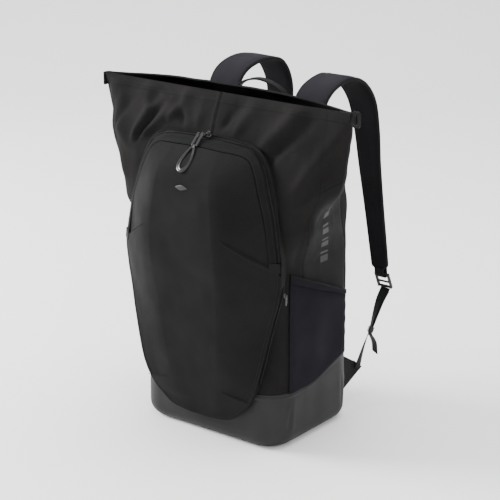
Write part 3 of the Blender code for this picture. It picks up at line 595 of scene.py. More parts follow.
def ribbed(name, base, light, roughness, pitch_x, pitch_y, depth, lean, sheen=0.0):
    """Knit, herringbone webbing or ribbed tape."""
    graph = Graph(name, roughness, sheen, 0.06)
    height = chevrons(graph, pitch_x, pitch_y, lean)
    mottled(graph, base, light, height, 0.45)
    graph.bump(height, depth)
    return graph.material


def grained(name, base, light, roughness, scale, depth, coat=0.0, metallic=0.0):
    """Coated cloth, plastic, rubber or painted metal with a fine random grain."""
    graph = Graph(name, roughness, 0.0, 0.22, coat)
    graph.shader.inputs["Metallic"].default_value = metallic
    fine = graph.noise(scale, 4.0)
    mottled(graph, base, light, graph.between(fine, 0.3, 0.7), 0.25)
    graph.bump(fine, depth)
    return graph.material


MATERIALS = {
    "woven": woven("woven_black", (0.0042, 0.0040, 0.0040), (0.0165, 0.0154, 0.0150), 0.72, 0.0011, 0.00022),
    "front": woven("woven_front", (0.0034, 0.0035, 0.0035), (0.0128, 0.0130, 0.0128), 0.66, 0.0011, 0.00020),
    "side": woven("woven_side", (0.0046, 0.0046, 0.0047), (0.0115, 0.0115, 0.0117), 0.58, 0.0007, 0.00008),
    "boot": grained("coated_boot", (0.0066, 0.0067, 0.0069), (0.0136, 0.0137, 0.0139), 0.56, 900.0, 0.00010),
    "lining": woven("lining_cloth", (0.0160, 0.0160, 0.0164), (0.0360, 0.0360, 0.0364),
                    0.80, 0.0009, 0.00008),
    "knit": ribbed("stretch_knit", (0.0034, 0.0032, 0.0050), (0.0110, 0.0104, 0.0150),
                   0.80, 0.0022, 0.0016, 0.00030, 1.2),
    "strap": ribbed("strap_knit", (0.0086, 0.0079, 0.0100), (0.0190, 0.0174, 0.0219),
                    0.82, 0.0018, 0.0013, 0.00018, 1.0),
    "under": ribbed("strap_underside", (0.0040, 0.0038, 0.0046), (0.0110, 0.0105, 0.0125),
                    0.85, 0.0030, 0.0026, 0.00035, 1.4),
    "mesh": ribbed("pad_mesh", (0.010, 0.010, 0.012), (0.030, 0.030, 0.034),
                   0.85, 0.0034, 0.0030, 0.00050, 1.4),
    "webbing": ribbed("webbing_weave", (0.0040, 0.0040, 0.0042), (0.0140, 0.0140, 0.0145),
                      0.62, 0.0050, 0.0016, 0.00030, 1.6),
    "binding": ribbed("binding_tape", (0.0040, 0.0040, 0.0043), (0.0125, 0.0125, 0.0130),
                      0.66, 0.0040, 0.0012, 0.00016, 0.6),
    "thread": grained("thread", (0.0050, 0.0050, 0.0054), (0.0110, 0.0110, 0.0115), 0.60, 1500.0, 0.00004),
    "plastic": grained("moulded_plastic", (0.0065, 0.0065, 0.0068), (0.0130, 0.0130, 0.0130),
                       0.36, 700.0, 0.00003),
    "coil": grained("zip_teeth", (0.008, 0.008, 0.008), (0.020, 0.020, 0.020), 0.38, 700.0, 0.00002),
    "metal": grained("dark_metal", (0.032, 0.032, 0.034), (0.070, 0.070, 0.074),
                     0.28, 500.0, 0.00001, 0.3, 0.9),
    "rubber": grained("pull_rubber", (0.0065, 0.0065, 0.0070), (0.0170, 0.0170, 0.0175),
                      0.30, 600.0, 0.00002, 0.35),
    "badge": grained("badge_gloss", (0.0190, 0.0190, 0.0195), (0.0380, 0.0380, 0.0390), 0.42, 500.0, 0.00001),
    "bars": grained("tonal_print", (0.0110, 0.0110, 0.0114), (0.0165, 0.0165, 0.0170), 0.50, 900.0, 0.00002),
    "board": grained("board_plastic", (0.010, 0.010, 0.010), (0.018, 0.018, 0.018), 0.60, 500.0, 0.00005),
}


# Mesh helpers

def make_object(name, points, faces, uvs, materials, indices=None, smooth=True):
    """A mesh object from points, faces and one UV pair for each point."""
    mesh = bpy.data.meshes.new(name)
    mesh.from_pydata(np.asarray(points, float).tolist(), [], faces)
    layer = mesh.uv_layers.new(name="UVMap")
    corners = np.empty(len(mesh.loops), dtype=np.int32)
    mesh.loops.foreach_get("vertex_index", corners)
    layer.data.foreach_set("uv", np.asarray(uvs, np.float32)[corners].ravel())
    for material in materials:
        mesh.materials.append(MATERIALS[material])
    if indices is not None:
        mesh.polygons.foreach_set("material_index", np.asarray(indices, np.int32))
    if smooth:
        mesh.shade_smooth()
        mesh.set_sharp_from_angle(angle=math.radians(50))
    mesh.update()
    obj = bpy.data.objects.new(name, mesh)
    bpy.context.scene.collection.objects.link(obj)
    return obj


def grid_normals(grid, closed=False):
    """Unit normals of a grid of points: columns crossed with rows."""
    if closed:
        along = np.roll(grid, -1, axis=1) - np.roll(grid, 1, axis=1)
    else:
        along = np.gradient(grid, axis=1)
    return unit(np.cross(along, np.gradient(grid, axis=0)))


def slab(name, outer, uvs, thickness, materials, closed=False, normals=None):
    """A closed sheet behind a grid of outer points; the first material outside, the second inside.

    The columns crossed with the rows point outward. closed joins the last column to the first, and
    then the grid's last column is a copy of its first.
    """
    rows, columns = outer.shape[:2]
    if normals is None:
        trimmed = outer[:, :-1] if closed else outer
        normals = grid_normals(trimmed, closed)
        if closed:
            normals = np.concatenate([normals, normals[:, :1]], axis=1)
    inner = outer - normals * (np.asarray(thickness)[..., None] if np.ndim(thickness) else thickness)
    back = rows * columns
    i, k = np.meshgrid(np.arange(rows - 1), np.arange(columns - 1), indexing="ij")
    a = (i * columns + k).ravel()
    front_faces = np.stack([a, a + 1, a + 1 + columns, a + columns], axis=-1)
    back_faces = np.stack([a, a + columns, a + 1 + columns, a + 1], axis=-1) + back
    low = np.arange(columns - 1)
    high = low + (rows - 1) * columns
    rim = [np.stack([low, low + back, low + 1 + back, low + 1], axis=-1),
           np.stack([high, high + 1, high + 1 + back, high + back], axis=-1)]
    if not closed:
        left = np.arange(rows - 1) * columns
        right = left + columns - 1
        rim.append(np.stack([left, left + columns, left + columns + back, left + back], axis=-1))
        rim.append(np.stack([right, right + back, right + columns + back, right + columns], axis=-1))
    rim = np.concatenate(rim)
    faces = np.concatenate([front_faces, back_faces, rim])
    points = np.concatenate([outer.reshape(-1, 3), inner.reshape(-1, 3)])
    flat = np.concatenate([uvs.reshape(-1, 2), uvs.reshape(-1, 2)])
    if closed:
        keep = np.arange(len(points))
        keep[np.arange(rows) * columns + columns - 1] = np.arange(rows) * columns
        keep[back + np.arange(rows) * columns + columns - 1] = back + np.arange(rows) * columns
        faces = keep[faces]
    inside = np.full(len(back_faces), len(materials) - 1)
    indices = np.r_[np.zeros(len(front_faces)), inside, np.zeros(len(rim))]
    used, remap = np.unique(faces, return_inverse=True)
    faces = remap.reshape(faces.shape)
    return make_object(name, points[used], faces.tolist(), flat[used], materials, indices)


def tube(name, rings, materials, indices=None, uvs=None, smooth=True):
    """A closed body through rings of points (rings, ring points, 3), with flat ends."""
    rings = np.asarray(rings, float)
    count, size = rings.shape[:2]
    i, k = np.meshgrid(np.arange(count - 1), np.arange(size), indexing="ij")
    a = (i * size + k).ravel()
    b = (i * size + (k + 1) % size).ravel()
    faces = np.stack([a, b, b + size, a + size], axis=-1).tolist()
    faces += [list(range(size - 1, -1, -1)), list(range((count - 1) * size, count * size))]
    if uvs is None:
        lengths = np.r_[0, np.cumsum(np.linalg.norm(np.diff(rings.mean(axis=1), axis=0), axis=-1))]
        girth = np.r_[0, np.cumsum(np.linalg.norm(np.diff(rings[0], axis=0), axis=-1))]
        uvs = np.stack(np.broadcast_arrays(girth[None, :], lengths[:, None]), axis=-1)
    slots = None
    if indices is not None:
        slots = np.r_[np.tile(indices, count - 1), [0, 0]]
    return make_object(name, rings.reshape(-1, 3), faces, uvs.reshape(-1, 2), materials, slots, smooth)


def outward(obj):
    """Faces turned to point outward."""
    body = bmesh.new()
    body.from_mesh(obj.data)
    bmesh.ops.recalc_face_normals(body, faces=body.faces)
    body.to_mesh(obj.data)
    body.free()
    return obj


def ring_body(name, outline, hole, thickness, place, axes, material, bevel=0.0004):
    """A flat plate with one hole: outline and hole are equal lists of (x, y) in the plane of axes."""
    outline = np.asarray(outline, float)
    hole = np.asarray(hole, float)
    axes = np.asarray(axes, float)
    centre = outline.mean(axis=0)
    layers = []
    hole_centre = hole.mean(axis=0)
    profile = ((1 - bevel, 1, 0.5), (1, 1 + bevel, 0.5 - bevel), (1, 1 + bevel, bevel - 0.5),
               (1 - bevel, 1, -0.5))
    for share_out, share_in, lift in profile:
        outer_loop = centre + (outline - centre) * share_out
        inner_loop = hole_centre + (hole - hole_centre) * (2 - share_in)
        layers.append((outer_loop, inner_loop, lift * thickness))
    loops = [np.c_[layers[i][0], np.full(len(outline), layers[i][2])] for i in range(4)]
    loops += [np.c_[layers[i][1], np.full(len(hole), layers[i][2])] for i in (3, 2, 1, 0)]
    loops = np.array(loops)
    count, size = loops.shape[:2]
    points = loops.reshape(-1, 3) @ axes + np.asarray(place, float)
    faces = []
    for ring in range(count):
        after = (ring + 1) % count
        for step in range(size):
            b = (step + 1) % size
            faces.append([ring * size + step, ring * size + b, after * size + b, after * size + step])
    return outward(make_object(name, points, faces, loops.reshape(-1, 3)[:, :2], [material]))


def bar(name, size, place, axes, material, round_by=0.0006, segments=3):
    """A small box with rounded edges; axes are its three unit directions."""
    body = bmesh.new()
    bmesh.ops.create_cube(body, size=1.0)
    bmesh.ops.scale(body, vec=size, verts=body.verts)
    bmesh.ops.bevel(body, geom=list(body.edges), offset=round_by, segments=segments, affect="EDGES")
    local = np.array([vertex.co[:] for vertex in body.verts])
    faces = [[vertex.index for vertex in face.verts] for face in body.faces]
    body.free()
    points = local @ np.asarray(axes, float) + np.asarray(place, float)
    return make_object(name, points, faces, local[:, :2] + local[:, 2:], [material])


def beads(name, places, along, normal, size, material):
    """Many small rounded dashes in one mesh, such as stitches or zip teeth; size is length, width, height."""
    places = np.asarray(places, float)
    along = unit(along)
    side = unit(np.cross(np.asarray(normal, float), along))
    normal = np.cross(along, side)
    length, width, height = size
    shape = []
    for long, wide, high in ((0.5, 0.25, 0), (0.34, 0.5, 0.3), (0.26, 0.2, 1)):
        shape += [(-long, -wide, high), (-long, wide, high), (long, wide, high), (long, -wide, high)]
    quads = [(3, 2, 1, 0)]
    for low in (0, 4):
        quads += [(low + k, low + (k + 1) % 4, low + 4 + (k + 1) % 4, low + 4 + k) for k in range(4)]
    quads.append((8, 9, 10, 11))
    points = []
    for a, b, c in shape:
        points.append(places + along * (a * length) + side * (b * width) + normal * (c * height))
    points = np.stack(points, axis=1).reshape(-1, 3)
    faces = [[12 * index + corner for corner in quad] for index in range(len(places)) for quad in quads]
    uvs = np.tile(np.array([(a * length, b * width) for a, b, _ in shape]), (len(places), 1))
    return outward(make_object(name, points, faces, uvs, [material]))


def seam_stitches(name, line, normals, pitch=0.0034, size=(0.0024, 0.0007, 0.0005)):
    """A row of stitches along a line that lies on a surface."""
    line = np.asarray(line, float)
    lengths = path_lengths(line)
    even = np.arange(pitch / 2, lengths[-1], pitch)
    places = resampled(even, lengths, line)
    ups = resampled(even, lengths, normals)
    along = np.gradient(places, axis=0)
    return beads(name, places - unit(ups) * 0.0001, along, ups, size, "thread")


def finish_piece(obj, body, slot, *nodes):
    """Rides the piece on a body; a piece given collar_bend or flap_bend stays fixed in place, unbent. Hides
    the CAD nodes it stands for.
    """
    if body == "collar_bend":
        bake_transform(obj)
    elif body == "flap_bend":
        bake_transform(obj)
    else:
        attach(obj, body)
    if nodes:
        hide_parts(*nodes)
    return obj


# Stage

def aimed(obj, target):
    obj.rotation_euler = (Vector(target) - obj.location).to_track_quat("-Z", "Y").to_euler()


def build_camera():
    """The photo's viewpoint: about 38 degrees round to the right and 18 degrees up, from 2.9 m."""
    level = math.cos(CAMERA_ELEVATION)
    back = Vector((math.sin(CAMERA_AZIMUTH) * level, -math.cos(CAMERA_AZIMUTH) * level,
                   math.sin(CAMERA_ELEVATION)))
    data = bpy.data.cameras.new("camera")
    data.sensor_width = 36.0
    data.lens = CAMERA_LENS
    data.shift_x = CAMERA_SHIFT
    data.shift_y = CAMERA_SHIFT
    data.clip_start = 0.05
    camera = bpy.data.objects.new("camera", data)
    bpy.context.scene.collection.objects.link(camera)
    camera.location = Vector(CAMERA_TARGET) + back * CAMERA_DISTANCE
    aimed(camera, CAMERA_TARGET)
    bpy.context.scene.camera = camera


def build_stage():
    """A pale floor that curves up behind, a pale world and three large soft lights."""
    points = [(distance, height - 0.0003) for distance, height in BACKDROP]
    away = np.array([-math.sin(CAMERA_AZIMUTH), math.cos(CAMERA_AZIMUTH), 0.0])
    right = np.array([math.cos(CAMERA_AZIMUTH), math.sin(CAMERA_AZIMUTH), 0.0])
    rows = [[away * d + right * x + np.array([0, 0, h]) for x in (-7.0, 7.0)] for d, h in points]
    flat = [point for row in rows for point in row]
    faces = [[2 * i, 2 * i + 1, 2 * i + 3, 2 * i + 2] for i in range(len(rows) - 1)]
    mesh = bpy.data.meshes.new("floor")
    mesh.from_pydata([tuple(point) for point in flat], [], faces)
    mesh.shade_smooth()
    material = bpy.data.materials.new("floor")
    material.use_nodes = True
    shader = material.node_tree.nodes["Principled BSDF"]
    shader.inputs["Base Color"].default_value = (0.90, 0.90, 0.90, 1.0)
    shader.inputs["Roughness"].default_value = 0.9
    shader.inputs["Specular IOR Level"].default_value = 0.1
    mesh.materials.append(material)
    floor = bpy.data.objects.new("floor", mesh)
    bpy.context.scene.collection.objects.link(floor)

    world = bpy.data.worlds.new("studio")
    world.use_nodes = True
    world.node_tree.nodes["Background"].inputs["Color"].default_value = (1.0, 1.0, 1.0, 1.0)
    world.node_tree.nodes["Background"].inputs["Strength"].default_value = WORLD_STRENGTH
    bpy.context.scene.world = world
    for name, place, size, power in LIGHTS:
        data = bpy.data.lights.new(name, "AREA")
        data.energy = power
        data.size = size
        light = bpy.data.objects.new(name, data)
        bpy.context.scene.collection.objects.link(light)
        light.location = place
        aimed(light, LIGHT_TARGET)


# Body cloth

def skin_cloth(name, first, last, low, high, steps, rows, materials, extra=None, depth=FABRIC):
    """A panel of the skin between two seams, with the shared folds; low and high are heights over u."""
    edge = SEAM_GAP / PERIMETER
    u = np.linspace(first + edge, last - edge, steps)[None, :]
    share = np.linspace(0, 1, rows)[:, None]
    z = mixed(low(np.abs(u)), high(np.abs(u)), share)
    u = np.broadcast_to(u, z.shape)
    out = wrinkles(u, z)
    if extra is not None:
        out = out + extra(u, z)
    near = np.minimum(np.abs(u - first), np.abs(last - u)) * PERIMETER
    out = out - (0.0010 - 0.0008 * eased(0.47, 0.50, z)) * np.exp(-(near / 0.0035) ** 2)
    uvs = skin_uvs(u, z)
    panel = slab(name, skin_out(u, z, out), uvs, depth, materials)
    return panel


def hem_relief(u, z):
    """The sewn hem below the rim: a slight step, with a groove at its stitching."""
    return 0.0007 * eased(0.5815, 0.5835, z) - 0.0008 * np.exp(-((z - 0.5815) / 0.0012) ** 2)


def front_relief(u, z):
    """The hem, and the raised seam that runs up the middle of the front."""
    across = u * PERIMETER
    seam = 0.0016 * np.exp(-(across / 0.0030) ** 2) - 0.0014 * np.exp(-((across - 0.0042) / 0.0013) ** 2)
    return hem_relief(u, z) + seam * eased(0.50, 0.53, z)


def seam_line(u, z, lift=0.0006):
    """Points and normals along a path on the folded skin."""
    u, z = np.broadcast_arrays(np.asarray(u, float), np.asarray(z, float))
    return skin_out(u, z, wrinkles(u, z) + lift), skin_normal(u, z)


def build_body():
    """Front, back and gussets up to the rim, the smooth side panels, and their stitching."""
    front = skin_cloth("front_cloth", -FRONT_SEAM_U, FRONT_SEAM_U, above_boot, rim_height, 190, 170,
                       ["woven", "lining"], front_relief)
    finish_piece(front, "collar_bend", "woven", "front_panel", "collar_front")
    back = skin_cloth("back_cloth", BACK_SEAM_U, 1 - BACK_SEAM_U, above_boot, rim_height, 120, 130,
                      ["woven", "lining"], hem_relief)
    finish_piece(back, "collar_bend", "woven", "back_panel", "collar_back")
    for side, sign in SIDES:
        first, last = sorted((sign * FRONT_SEAM_U, sign * BACK_SEAM_U))
        panel = skin_cloth(f"side_panel_cloth_{side}", first, last, above_boot, side_top, 70, 110,
                           ["side", "lining"])
        finish_piece(panel, "collar_bend", "coated", f"side_panel_{side}")
        gusset = skin_cloth(f"upper_gusset_cloth_{side}", first, last, above_side, rim_height, 70, 60,
                            ["woven", "lining"], hem_relief)
        finish_piece(gusset, "collar_bend", "woven", f"upper_gusset_{side}")
        u = np.linspace(first + 0.004, last - 0.004, 60)
        for row, drop in (("a", 0.0035), ("b", 0.0070)):
            line, normal = seam_line(u, side_top(np.abs(u)) + drop)
            finish_piece(seam_stitches(f"gusset_stitch_{side}_{row}", line, normal), "collar_bend", "mark")
        z = np.linspace(0.11, 0.485, 120)
        line, normal = seam_line(np.full(120, sign * (FRONT_SEAM_U + 0.0042)), z)
        finish_piece(seam_stitches(f"front_seam_stitch_{side}", line, normal), "pack", "mark")
    for name, first, last in (("front", -0.235, 0.235), ("back", 0.265, 0.735)):
        u = np.linspace(first, last, 260)
        line, normal = seam_line(u, np.full(260, 0.5855), 0.0012)
        finish_piece(seam_stitches(f"hem_stitch_{name}", line, normal), "collar_bend", "mark")


def inner_tape(name, u, z, body):
    """A binding tape inside the skin, over the raw edges of a seam, on a grid of u and z."""
    u, z = np.broadcast_arrays(u, z)
    outer = skin_out(u, z, wrinkles(u, z) - FABRIC - 0.0015)
    tape = slab(name, outer, skin_uvs(u, z), 0.0007, ["binding"])
    finish_piece(tape, body, "webbing")


def build_seam_tapes():
    """The bound seams inside: round the boot's top, up both sides and under each gusset."""
    wide = 0.005
    rows = np.linspace(-wide, wide, 5)
    u = np.linspace(-0.5, 0.5, 241)
    inner_tape("seam_tape_boot", u[None, :], boot_top(u)[None, :] + rows[:, None], "pack")
    for side, sign in SIDES:
        u = np.linspace(*sorted((sign * FRONT_SEAM_U, sign * BACK_SEAM_U)), 70)
        z = side_top(u)[None, :] + rows[:, None]
        inner_tape(f"seam_tape_gusset_{side}", u[None, :], z, "collar_bend")
        for end, place in (("front", FRONT_SEAM_U), ("back", BACK_SEAM_U)):
            z = np.linspace(BOOT_BACK_Z + 0.006, RIM_Z - 0.021, 110)
            u = sign * place + rows / PERIMETER
            inner_tape(f"seam_tape_{end}_{side}", u[None, :], z[:, None], "collar_bend")


def build_rim():
    """The stiff tape inside each rim and the webbing tab at each end, on its root."""
    for name, first in (("front", -0.215), ("back", 0.285)):
        u = np.linspace(first, first + 0.43, 110)[None, :]
        z = np.linspace(RIM_Z - 0.019, RIM_Z - 0.0004, 8)[:, None]
        u, z = np.broadcast_arrays(u, z)
        outer = skin_out(u, z, wrinkles(u, z) + hem_relief(u, z) - FABRIC - 0.0006)
        tape = slab(f"rim_tape_cloth_{name}", outer, skin_uvs(u, z), 0.0010, ["binding"])
        finish_piece(tape, "collar_bend", "webbing", f"rim_tape_{name}")
    axes = np.eye(3)
    left = bar("rim_tab_fold_left", (0.0042, 0.011, 0.023), (-RIM_HALF - 0.0032, RIM_END_Y, 0.588), axes,
               "webbing", 0.0012)
    finish_piece(left, "collar", "webbing", "rim_tab_left")
    root = bar("rim_tab_root_right", (0.0150, 0.0030, 0.0200), (RIM_HALF - 0.0040, RIM_END_Y, 0.590), axes,
               "webbing")
    finish_piece(root, "collar", "webbing")
    outline = rounded_box(0.0150, 0.0260, 24)
    hole = rounded_box(0.0064, 0.0170, 24)
    right = ring_body("rim_tab_fold_right", outline, hole, 0.0034, (RIM_HALF + 0.0087, RIM_END_Y, 0.590),
                      (axes[0], axes[2], axes[1]), "webbing", 0.04)
    finish_piece(right, "collar", "webbing", "rim_tab_right")


def rounded_box(width, height, count):
    """Outline of a rounded rectangle round the origin, with count points."""
    points = []
    for index in range(count):
        angle = 2 * math.pi * (index + 0.5) / count
        x = math.cos(angle)
        y = math.sin(angle)
        power = 5.0
        size = (abs(x) ** power + abs(y) ** power) ** (-1 / power)
        points.append((x * size * width / 2, y * size * height / 2))
    return points


def build_boot():
    """The coated cup: floor, rolled lower edge and sides, with soft creases at the corners."""
    u = np.linspace(-0.5, 0.5, 241)
    rows = []
    uvs = []
    for share in (0.0, 0.35, 0.7, 0.92):
        flat = skin(u, np.zeros_like(u)) * np.array([share, share, 1.0])
        rows.append(flat)
        uvs.append(flat[:, :2])
    for z in list(FILLET * (1 - np.cos(np.radians(np.arange(0, 91, 11.25))))):
        rows.append(skin_out(u, np.full_like(u, z), 0 * u))
        uvs.append(np.stack([u * PERIMETER, np.full_like(u, z)], axis=-1))
    for share in np.linspace(0.04, 1, 34):
        z = mixed(FILLET, boot_top(u), share)
        rows.append(skin_out(u, z, boot_relief(u, z)))
        uvs.append(skin_uvs(u, z))
    grid = np.array(rows)
    grid[:, -1] = grid[:, 0]
    cap = closed_cup("boot", grid, np.array(uvs), FABRIC + 0.0002, ["boot", "lining"])
    finish_piece(cap, "pack", "coated", "base_boot")
    for row, drop in (("a", 0.0030), ("b", 0.0062)):
        z = boot_top(u) - drop
        line = skin_out(u, z, boot_relief(u, z) + 0.0003)
        finish_piece(seam_stitches(f"boot_stitch_{row}", line, skin_normal(u, z)), "pack", "mark")


def boot_relief(u, z):
    """The boot's bound upper edge, faint slack, and fan creases at the four lower corners."""
    around = np.abs(np.mod(u + 0.5, 1.0) - 0.5)
    top = boot_top(u)
    relief = 0.0010 * eased(0.010, 0.008, top - z) - 0.0006 * np.exp(-((top - z - 0.0105) / 0.0012) ** 2)
    relief = relief + 0.0009 * grain(u * 34, z * 22, 8, 34)
    for corner, lean in ((0.150, 0.35), (0.172, 0.10), (0.335, -0.15), (0.352, -0.30)):
        path = corner + lean * (z - FILLET) * 0.9
        fade = eased(0.012, 0.035, z) * (1 - eased(0.070, 0.100, z))
        relief = relief - 0.0016 * fade * np.exp(-((around - path) * PERIMETER / 0.0032) ** 2)
        relief = relief + 0.0010 * fade * np.exp(-(((around - path) * PERIMETER - 0.007) / 0.0050) ** 2)
    return relief * eased(FILLET, FILLET + 0.01, z)


def closed_cup(name, grid, uvs, thickness, materials):
    """A cup whose first row is one point, repeated, at the bottom's centre."""
    rows, columns = grid.shape[:2]
    normals = grid_normals(grid[:, :-1], True)
    normals = np.concatenate([normals, normals[:, :1]], axis=1)
    normals[:5] = (0, 0, -1)
    inner = grid - normals * thickness
    size = columns - 1
    points = []
    flat = []
    for layer in (grid, inner):
        points.append(layer[0, :1])
        points.append(layer[1:, :-1].reshape(-1, 3))
        flat.append(uvs[0, :1])
        flat.append(uvs[1:, :-1].reshape(-1, 2))
    points = np.concatenate(points)
    flat = np.concatenate(flat)
    count = 1 + (rows - 1) * size
    faces = []
    indices = []
    for layer in (0, 1):
        base = layer * count
        for step in range(size):
            after = (step + 1) % size
            tri = [base, base + 1 + after, base + 1 + step]
            faces.append(tri if layer == 0 else tri[::-1])
            indices.append(layer)
        for row in range(rows - 2):
            low = base + 1 + row * size
            for step in range(size):
                after = (step + 1) % size
                quad = [low + step, low + after, low + size + after, low + size + step]
                faces.append(quad if layer == 0 else quad[::-1])
                indices.append(layer)
    top = 1 + (rows - 2) * size
    for step in range(size):
        after = (step + 1) % size
        faces.append([top + step, top + after, top + after + count, top + step + count])
        indices.append(0)
    return make_object(name, points, faces, flat, materials, indices)


def build_side_pockets():
    """The stretch pockets: drawn tight at their edges, standing off the side at a bound elastic hem."""
    for side, first, last in (("right", 0.170, BACK_SEAM_U), ("left", -BACK_SEAM_U, -0.170)):
        u = np.linspace(first, last, 80)[None, :]
        share = np.linspace(0, 1, 90)[:, None]
        z = mixed(boot_top(u) - 0.001, HEM_SIDE_Z - HEM_SLOPE * (np.abs(u) - 0.25), share)
        u = np.broadcast_to(u, z.shape)
        across = (u - first) / (last - first)
        bulge = 0.0026 + 0.0085 * np.sin(math.pi * across) * eased(0.0, 1.0, share)
        bulge = bulge + 0.0012 * grain(u * 26, z * 15, 11) * np.sin(math.pi * across) * eased(0, 0.15, share)
        pulled = 0.0004 * np.sin(z * 260 + 9 * across) * np.exp(-((across - np.round(across)) / 0.10) ** 2)
        bulge = bulge + pulled * eased(0.05, 0.3, share) * (1 - eased(0.85, 1.0, share))
        hem = eased(0.922, 0.932, share)
        bulge = bulge + 0.0012 * hem - 0.0014 * np.exp(-((share - 0.925) / 0.006) ** 2)
        gather = 0.0006 * np.sin(u * PERIMETER * 2 * math.pi / 0.006) * eased(0.80, 0.93, share) * (1 - hem)
        outer = skin_out(u, z, wrinkles(u, z) * 0.5 + bulge + gather)
        uvs = skin_uvs(u, z)
        body = slab(f"stretch_pocket_{side}", outer, uvs, 0.0012, ["knit", "knit"])
        finish_piece(body, "pack", "knit", f"side_pocket_{side}")
        hem_u = u[-1]
        line = skin_out(hem_u, z[-1] - 0.0015, wrinkles(hem_u, z[-1]) * 0.5 + bulge[-1] - 0.0004)
        binding = rope(f"elastic_hem_{side}", line, 0.0030, 0.0018, skin_normal(hem_u, z[-1]), "binding")
        finish_piece(binding, "pack", "knit")


def rope(name, line, tall, thick, normals, material):
    """A flattened round band along a line, thick along the normals."""
    tangent = unit(np.gradient(line, axis=0))
    normals = unit(normals - tangent * np.sum(tangent * normals, axis=-1, keepdims=True))
    side = np.cross(normals, tangent)
    rings = []
    for index in range(10):
        angle = 2 * math.pi * index / 10
        rings.append(line + side * (tall / 2 * math.cos(angle)) + normals * (thick / 2 * math.sin(angle)))
    return outward(tube(name, np.stack(rings, axis=1), [material]))


# Front pocket

def face_normal(x, z, detail=False):
    step = 0.003
    along = face_point(x + step, z, 0.0, detail) - face_point(x - step, z, 0.0, detail)
    rise = face_point(x, z + step, 0.0, detail) - face_point(x, z - step, 0.0, detail)
    return unit(np.cross(along, rise))


def build_pocket_cloth():
    """The domed front in one piece."""
    half = dense_outline(220)
    inner = inset_outline(half, BAND_WIDTH)
    shrink = eased(0.322, ZIP_END_Z, half[:, 1])[:, None]
    rows = mixed(half, inner, shrink)
    shares = np.linspace(-1, 1, 161)
    x = rows[:, :1] * shares[None, :]
    z = np.broadcast_to(rows[:, 1:], x.shape)
    outer = face_point(x, z)
    uvs = np.stack([x, z], axis=-1)
    cloth = slab("pocket_cloth", outer, uvs, FABRIC, ["front", "lining"])
    finish_piece(cloth, "flap_bend", "woven", "pocket_front_lower", "pocket_front_upper")
    edge = inset_outline(half, 0.0040)
    kept = edge[:, 1] < ZIP_END_Z
    for side, sign in SIDES:
        line = face_point(sign * edge[kept, 0], edge[kept, 1], 0.0003)
        normal = face_normal(sign * edge[kept, 0], edge[kept, 1])
        finish_piece(seam_stitches(f"pocket_stitch_{side}", line, normal), "pack", "mark")
    for number, (x0, z0, x1, z1, _) in enumerate(DARTS):
        for side, sign in SIDES:
            xs = np.linspace(x0, x1 - 0.003, 50)
            zs = np.linspace(z0, z1 + (0.0018 if number == 0 else 0.0008), 50)
            normals = face_normal(sign * xs, zs)
            bend = "flap_bend" if number == 0 else "pack"
            tall = 0.0015 if sign > 0 else 0.0008
            line = face_point(sign * xs, zs, 0.0001)
            seam = rope(f"dart_seam_{number}_{side}", line, tall, 0.0014, normals, "front")
            finish_piece(seam, bend, "woven")
            if number == 0 and sign > 0:
                line = face_point(sign * xs, zs - 0.0042, 0.0002)
                finish_piece(seam_stitches(f"dart_stitch_{side}", line, normals), bend, "mark")


def face_strip(name, half, start, end, low_z, lift, thickness, material):
    """A strip along the pocket's outline between two insets, from low_z up and over the top."""
    kept = half[:, 1] >= low_z
    half = half[kept]
    rows = []
    flats = []
    for share in np.linspace(0, 1, 7):
        path = both_sides(inset_outline(half, mixed(start, end, share)))
        raised = lift + 0.0005 * math.sin(math.pi * share)
        points = face_point(path[:, 0], path[:, 1], 0.0, False)
        points = points + face_normal(path[:, 0], path[:, 1]) * raised
        lengths = path_lengths(points)
        rows.append(points)
        flats.append(np.stack([lengths, np.full_like(lengths, mixed(start, end, share))], axis=-1))
    return slab(name, np.array(rows), np.array(flats), thickness, [material])


